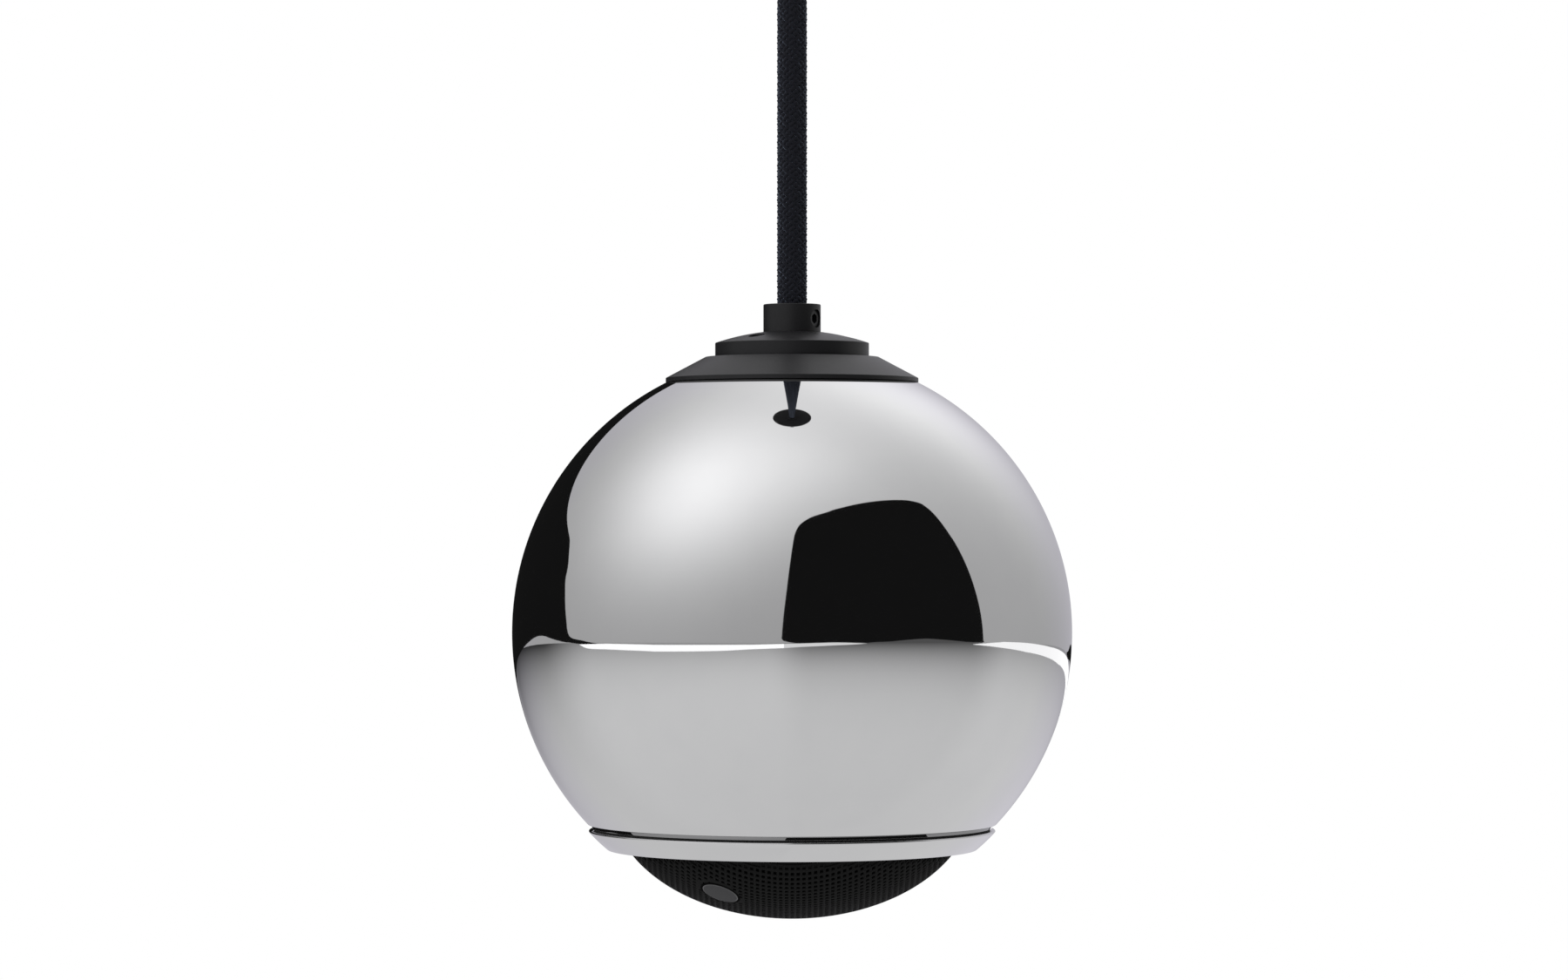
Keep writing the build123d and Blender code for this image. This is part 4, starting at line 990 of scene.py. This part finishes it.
dark_card = glow("dark_card", 0.0055)
white_card = glow("white_card", 1.0)
pale_card = glow("pale_card", 0.89)
tail_card = glow("tail_card", 0.62)
rise_card = glow("rise_card", 0.070)
card("card_right_dark", [
    (-4.3, -1.0, -0.6), (-4.15, -1.2, -0.2), (-3.6, -2.0, 6.8), (-2.4, -2.4, 17.3), (-1.1, -2.7, 28.0),
    (0.7, -3.0, 39.0), (2.3, -3.2, 43.0), (4.7, -3.4, 45.5), (9.6, -3.3, 47.8), (14.6, -3.1, 49.0),
    (20.3, -3.1, 49.9), (25.2, -3.05, 50.7), (36.2, -2.95, 51.4), (47.4, -2.95, 51.1),
    (58.1, -2.95, 49.8), (68.1, -2.95, 47.5), (74.4, -2.95, 44.8), (76.4, -2.95, 42.9), (77.9, -2.95, 40.0),
    (78.8, -2.95, 35.9), (79.5, -2.95, 31.2), (80.0, -2.95, 28.7), (80.9, -2.95, 20.7), (81.8, -2.95, 12.4),
    (82.5, -2.95, 7.0), (83.1, -2.95, 1.8), (83.5, -2.9, -2.0), (83.9, -2.9, -2.6),
], dark_card)
card("card_left_dark", [
    (-179.6, 4.0, 12.0), (-179.3, 0.5, 16.5), (-178.4, -2.4, 20.0), (-176.5, -3.6, 21.2),
    (-172.0, -3.7, 21.35), (-165.0, -3.6, 21.45), (-152.0, -3.4, 21.4),
    (-144.0, -3.0, 21.4), (-136.7, -2.4, 21.3), (-127.4, -1.5, 20.8), (-121.2, -1.4, 20.3),
    (-116.6, -1.8, 19.3), (-111.4, -2.3, 15.4), (-110.0, -2.4, 11.9), (-107.8, -2.6, 8.5),
    (-104.9, -2.8, 3.0), (-102.4, -2.9, -1.2), (-93.9, -3.4, -2.4), (-86.1, -3.5, -3.2),
], dark_card)
card("card_left_white", between(
    [(-96.0, -3.4), (-80.0, -3.3), (-54.0, -3.75), (-31.0, -3.75),
     (-17.0, -3.7), (-10.0, -3.55), (-3.3, -3.35)],
    [(-96.0, -3.5), (-91.0, -4.6), (-81.0, -5.0), (-62.0, -5.8), (-54.0, -6.1), (-31.0, -6.1),
     (-17.0, -5.5), (-10.0, -5.25), (-3.3, -5.0)],
), white_card, rows=2, nearer=IN_FRONT)
card("card_left_tail", between(
    [(-3.3, -3.35), (3.8, -3.15), (10.7, -2.97), (17.7, -2.82), (24.7, -2.98), (30.0, -3.2)],
    [(-3.3, -5.0), (3.8, -4.55), (10.7, -4.24), (17.7, -3.9), (24.7, -3.6), (30.0, -3.22)],
), tail_card, rows=2, nearer=IN_FRONT)
card("card_floor_rise", [
    (31.0, -3.05, -2.9), (34.0, -3.05, -2.66), (39.1, -3.05, -2.5), (46.6, -3.05, -1.9),
    (51.1, -3.05, -1.61), (55.8, -3.05, -1.47), (60.6, -3.05, -1.75), (66.4, -3.05, -2.14),
    (75.1, -3.05, -2.74), (82.5, -3.05, -2.88),
], rise_card, rows=1, nearer=IN_FRONT)
card("card_right_white", between(
    [(78.0, -3.5), (83.5, -3.2), (96.0, -2.75), (110.0, -2.9), (129.5, -3.3), (144.5, -3.35), (154.0, -3.3),
     (164.0, -3.2), (172.0, -2.9)],
    [(78.0, -3.55), (93.5, -4.3), (111.0, -5.0), (128.5, -5.2), (141.5, -5.2), (151.0, -4.9), (159.5, -4.6),
     (172.0, -3.9)],
), pale_card, rows=2)
card("card_far_dark", between(
    [(155.0, -2.9), (158.0, -2.65), (163.0, -2.0), (168.0, -1.8), (173.0, -1.9)],
    [(155.0, -3.1), (158.0, -3.2), (163.0, -2.9), (168.0, -2.6), (173.0, -2.3)],
), dark_card, rows=2, nearer=IN_FRONT)

world = bpy.data.worlds.new("studio")
bpy.context.scene.world = world
world.use_nodes = True
tree = world.node_tree
tree.nodes.clear()
SWEEP_LEVEL = 0.309
SWEEP_RISE = 0.227
SWEEP_CURVE = 2.32
FLOOR_LEVEL = 0.5645
FLOOR_FALL = -0.0695
FLOOR_EDGE = -3.0
PLAIN_LEVEL = 0.6
look = add(tree, "ShaderNodeTexCoord").outputs["Generated"]
across, away, height = add(tree, "ShaderNodeSeparateXYZ", {0: look}).outputs
up = calc(tree, "MAXIMUM", height, 0.0)
down = calc(tree, "MAXIMUM", calc(tree, "MULTIPLY", height, -1.0), 0.0)
bearing = calc(tree, "ARCTAN2", across, calc(tree, "MULTIPLY", away, -1.0))


def total(first, *rest):
    """The sum of any number of values."""
    for value in rest:
        first = calc(tree, "ADD", first, value)
    return first


def lobe(gain, tightness, azimuth, elevation):
    """A soft bright place in the sweep, centred on one direction."""
    centre = direction(azimuth, elevation)
    dot = add(tree, "ShaderNodeVectorMath", {0: look, 1: centre}, operation="DOT_PRODUCT")
    fall = calc(tree, "MULTIPLY", calc(tree, "SUBTRACT", dot.outputs["Value"], 1.0), tightness)
    return calc(tree, "MULTIPLY", calc(tree, "EXPONENT", fall), gain)


def fading(gain, fade):
    """A shade on the floor that is deepest at the horizon."""
    return calc(tree, "MULTIPLY", calc(tree, "EXPONENT", calc(tree, "MULTIPLY", down, -fade)), gain)


def shaded(gain, fade, *bounds):
    """The floor's shade in front of a dark card, between two bearings in degrees with soft ends."""
    depth = fading(gain, fade)
    for first, last in bounds:
        part = add(tree, "ShaderNodeMapRange", {
            "Value": bearing, "From Min": radians(first), "From Max": radians(last),
        }, interpolation_type="SMOOTHSTEP")
        depth = calc(tree, "MULTIPLY", depth, part.outputs[0])
    return depth


upper = total(
    calc(tree, "ADD", calc(tree, "MULTIPLY", calc(tree, "POWER", up, SWEEP_CURVE), SWEEP_RISE), SWEEP_LEVEL),
    lobe(0.435, 6.19, -63.7, 51.5),
    lobe(0.397, 8.83, 155.6, 40.0),
    lobe(0.055, 20.0, 20.0, 70.0),
    lobe(0.030, 7.0, 92.0, 12.0),
)
lower = total(
    fading(-0.458, 7.9),
    calc(tree, "ADD", calc(tree, "MULTIPLY", down, FLOOR_FALL), FLOOR_LEVEL),
    shaded(-0.22, 3.6, (-11.0, 8.0), (100.0, 76.0)),
    shaded(-0.28, 3.2, (-88.0, -125.0), (-179.0, -158.0)),
)
is_low = calc(tree, "LESS_THAN", height, sin(radians(FLOOR_EDGE)))
split = add(tree, "ShaderNodeMix", {"Factor": is_low, 2: upper, 3: lower}, data_type="FLOAT")
mirror_level = calc(tree, "DIVIDE", split.outputs[0], CHROME_TONE)
cool = add(tree, "ShaderNodeMapRange", {"Value": away, "From Min": 0.55, "From Max": 1.0})
mirror_tint = tinted(tree, cool.outputs[0], (1.0, 1.0, 1.0), (0.93, 0.91, 0.99))
mirror_sky = add(tree, "ShaderNodeBackground", {"Color": mirror_tint, "Strength": mirror_level})
plain_sky = add(tree, "ShaderNodeBackground", {"Color": WHITE, "Strength": PLAIN_LEVEL})
white_sky = add(tree, "ShaderNodeBackground", {"Color": WHITE, "Strength": 1.0})


def seen_straight(tree):
    """One for a ray that comes from the camera or through a clear piece, else none."""
    path = add(tree, "ShaderNodeLightPath").outputs
    return calc(tree, "MAXIMUM", path["Is Camera Ray"], path["Is Transmission Ray"])


mirrored = add(tree, "ShaderNodeLightPath").outputs["Is Glossy Ray"]
lit = add(tree, "ShaderNodeMixShader", {0: mirrored, 1: plain_sky.outputs[0], 2: mirror_sky.outputs[0]})
seen = add(tree, "ShaderNodeMixShader", {
    0: seen_straight(tree), 1: lit.outputs[0], 2: white_sky.outputs[0],
})
out = tree.nodes.new("ShaderNodeOutputWorld")
tree.links.new(seen.outputs[0], out.inputs["Surface"])

FLOOR_Z = -2.4
FLOOR_R = 6.0
floor_place = Matrix.Translation((0.0, 0.0, FLOOR_Z))
floor_shape = bmesh.new()
bmesh.ops.create_circle(floor_shape, cap_ends=True, segments=96, radius=FLOOR_R, matrix=floor_place)
floor_mesh = bpy.data.meshes.new("floor")
floor_shape.to_mesh(floor_mesh)
floor_shape.free()
pale_floor, tree, shader = blank_material("pale_floor", (0.85, 0.85, 0.85), 0.9)
white = add(tree, "ShaderNodeEmission", {"Strength": 1.0})
floor_mix = add(tree, "ShaderNodeMixShader", {
    0: seen_straight(tree), 1: shader.outputs[0], 2: white.outputs[0],
})
tree.links.new(floor_mix.outputs[0], tree.nodes["Material Output"].inputs["Surface"])
floor_mesh.materials.append(pale_floor)
floor = new_piece("floor", floor_mesh)
floor.visible_glossy = False

LAMP_AT = (-1.6, -1.6, 1.1)
LAMP_AIM = Vector((0.0, 0.0, -0.33))
LAMP_SIZE = (1.6, 1.2)
LAMP_POWER = 48.0
lamp_data = bpy.data.lights.new("soft_lamp", "AREA")
lamp_data.shape = "RECTANGLE"
lamp_data.size, lamp_data.size_y = LAMP_SIZE
lamp_data.energy = LAMP_POWER
lamp = bpy.data.objects.new("soft_lamp", lamp_data)
lamp.location = LAMP_AT
lamp.rotation_euler = (LAMP_AIM - lamp.location).to_track_quat("-Z", "Y").to_euler()
lamp.visible_glossy = False
lamp.visible_camera = False
bpy.context.scene.collection.objects.link(lamp)

bpy.context.scene.view_settings.view_transform = "Standard"
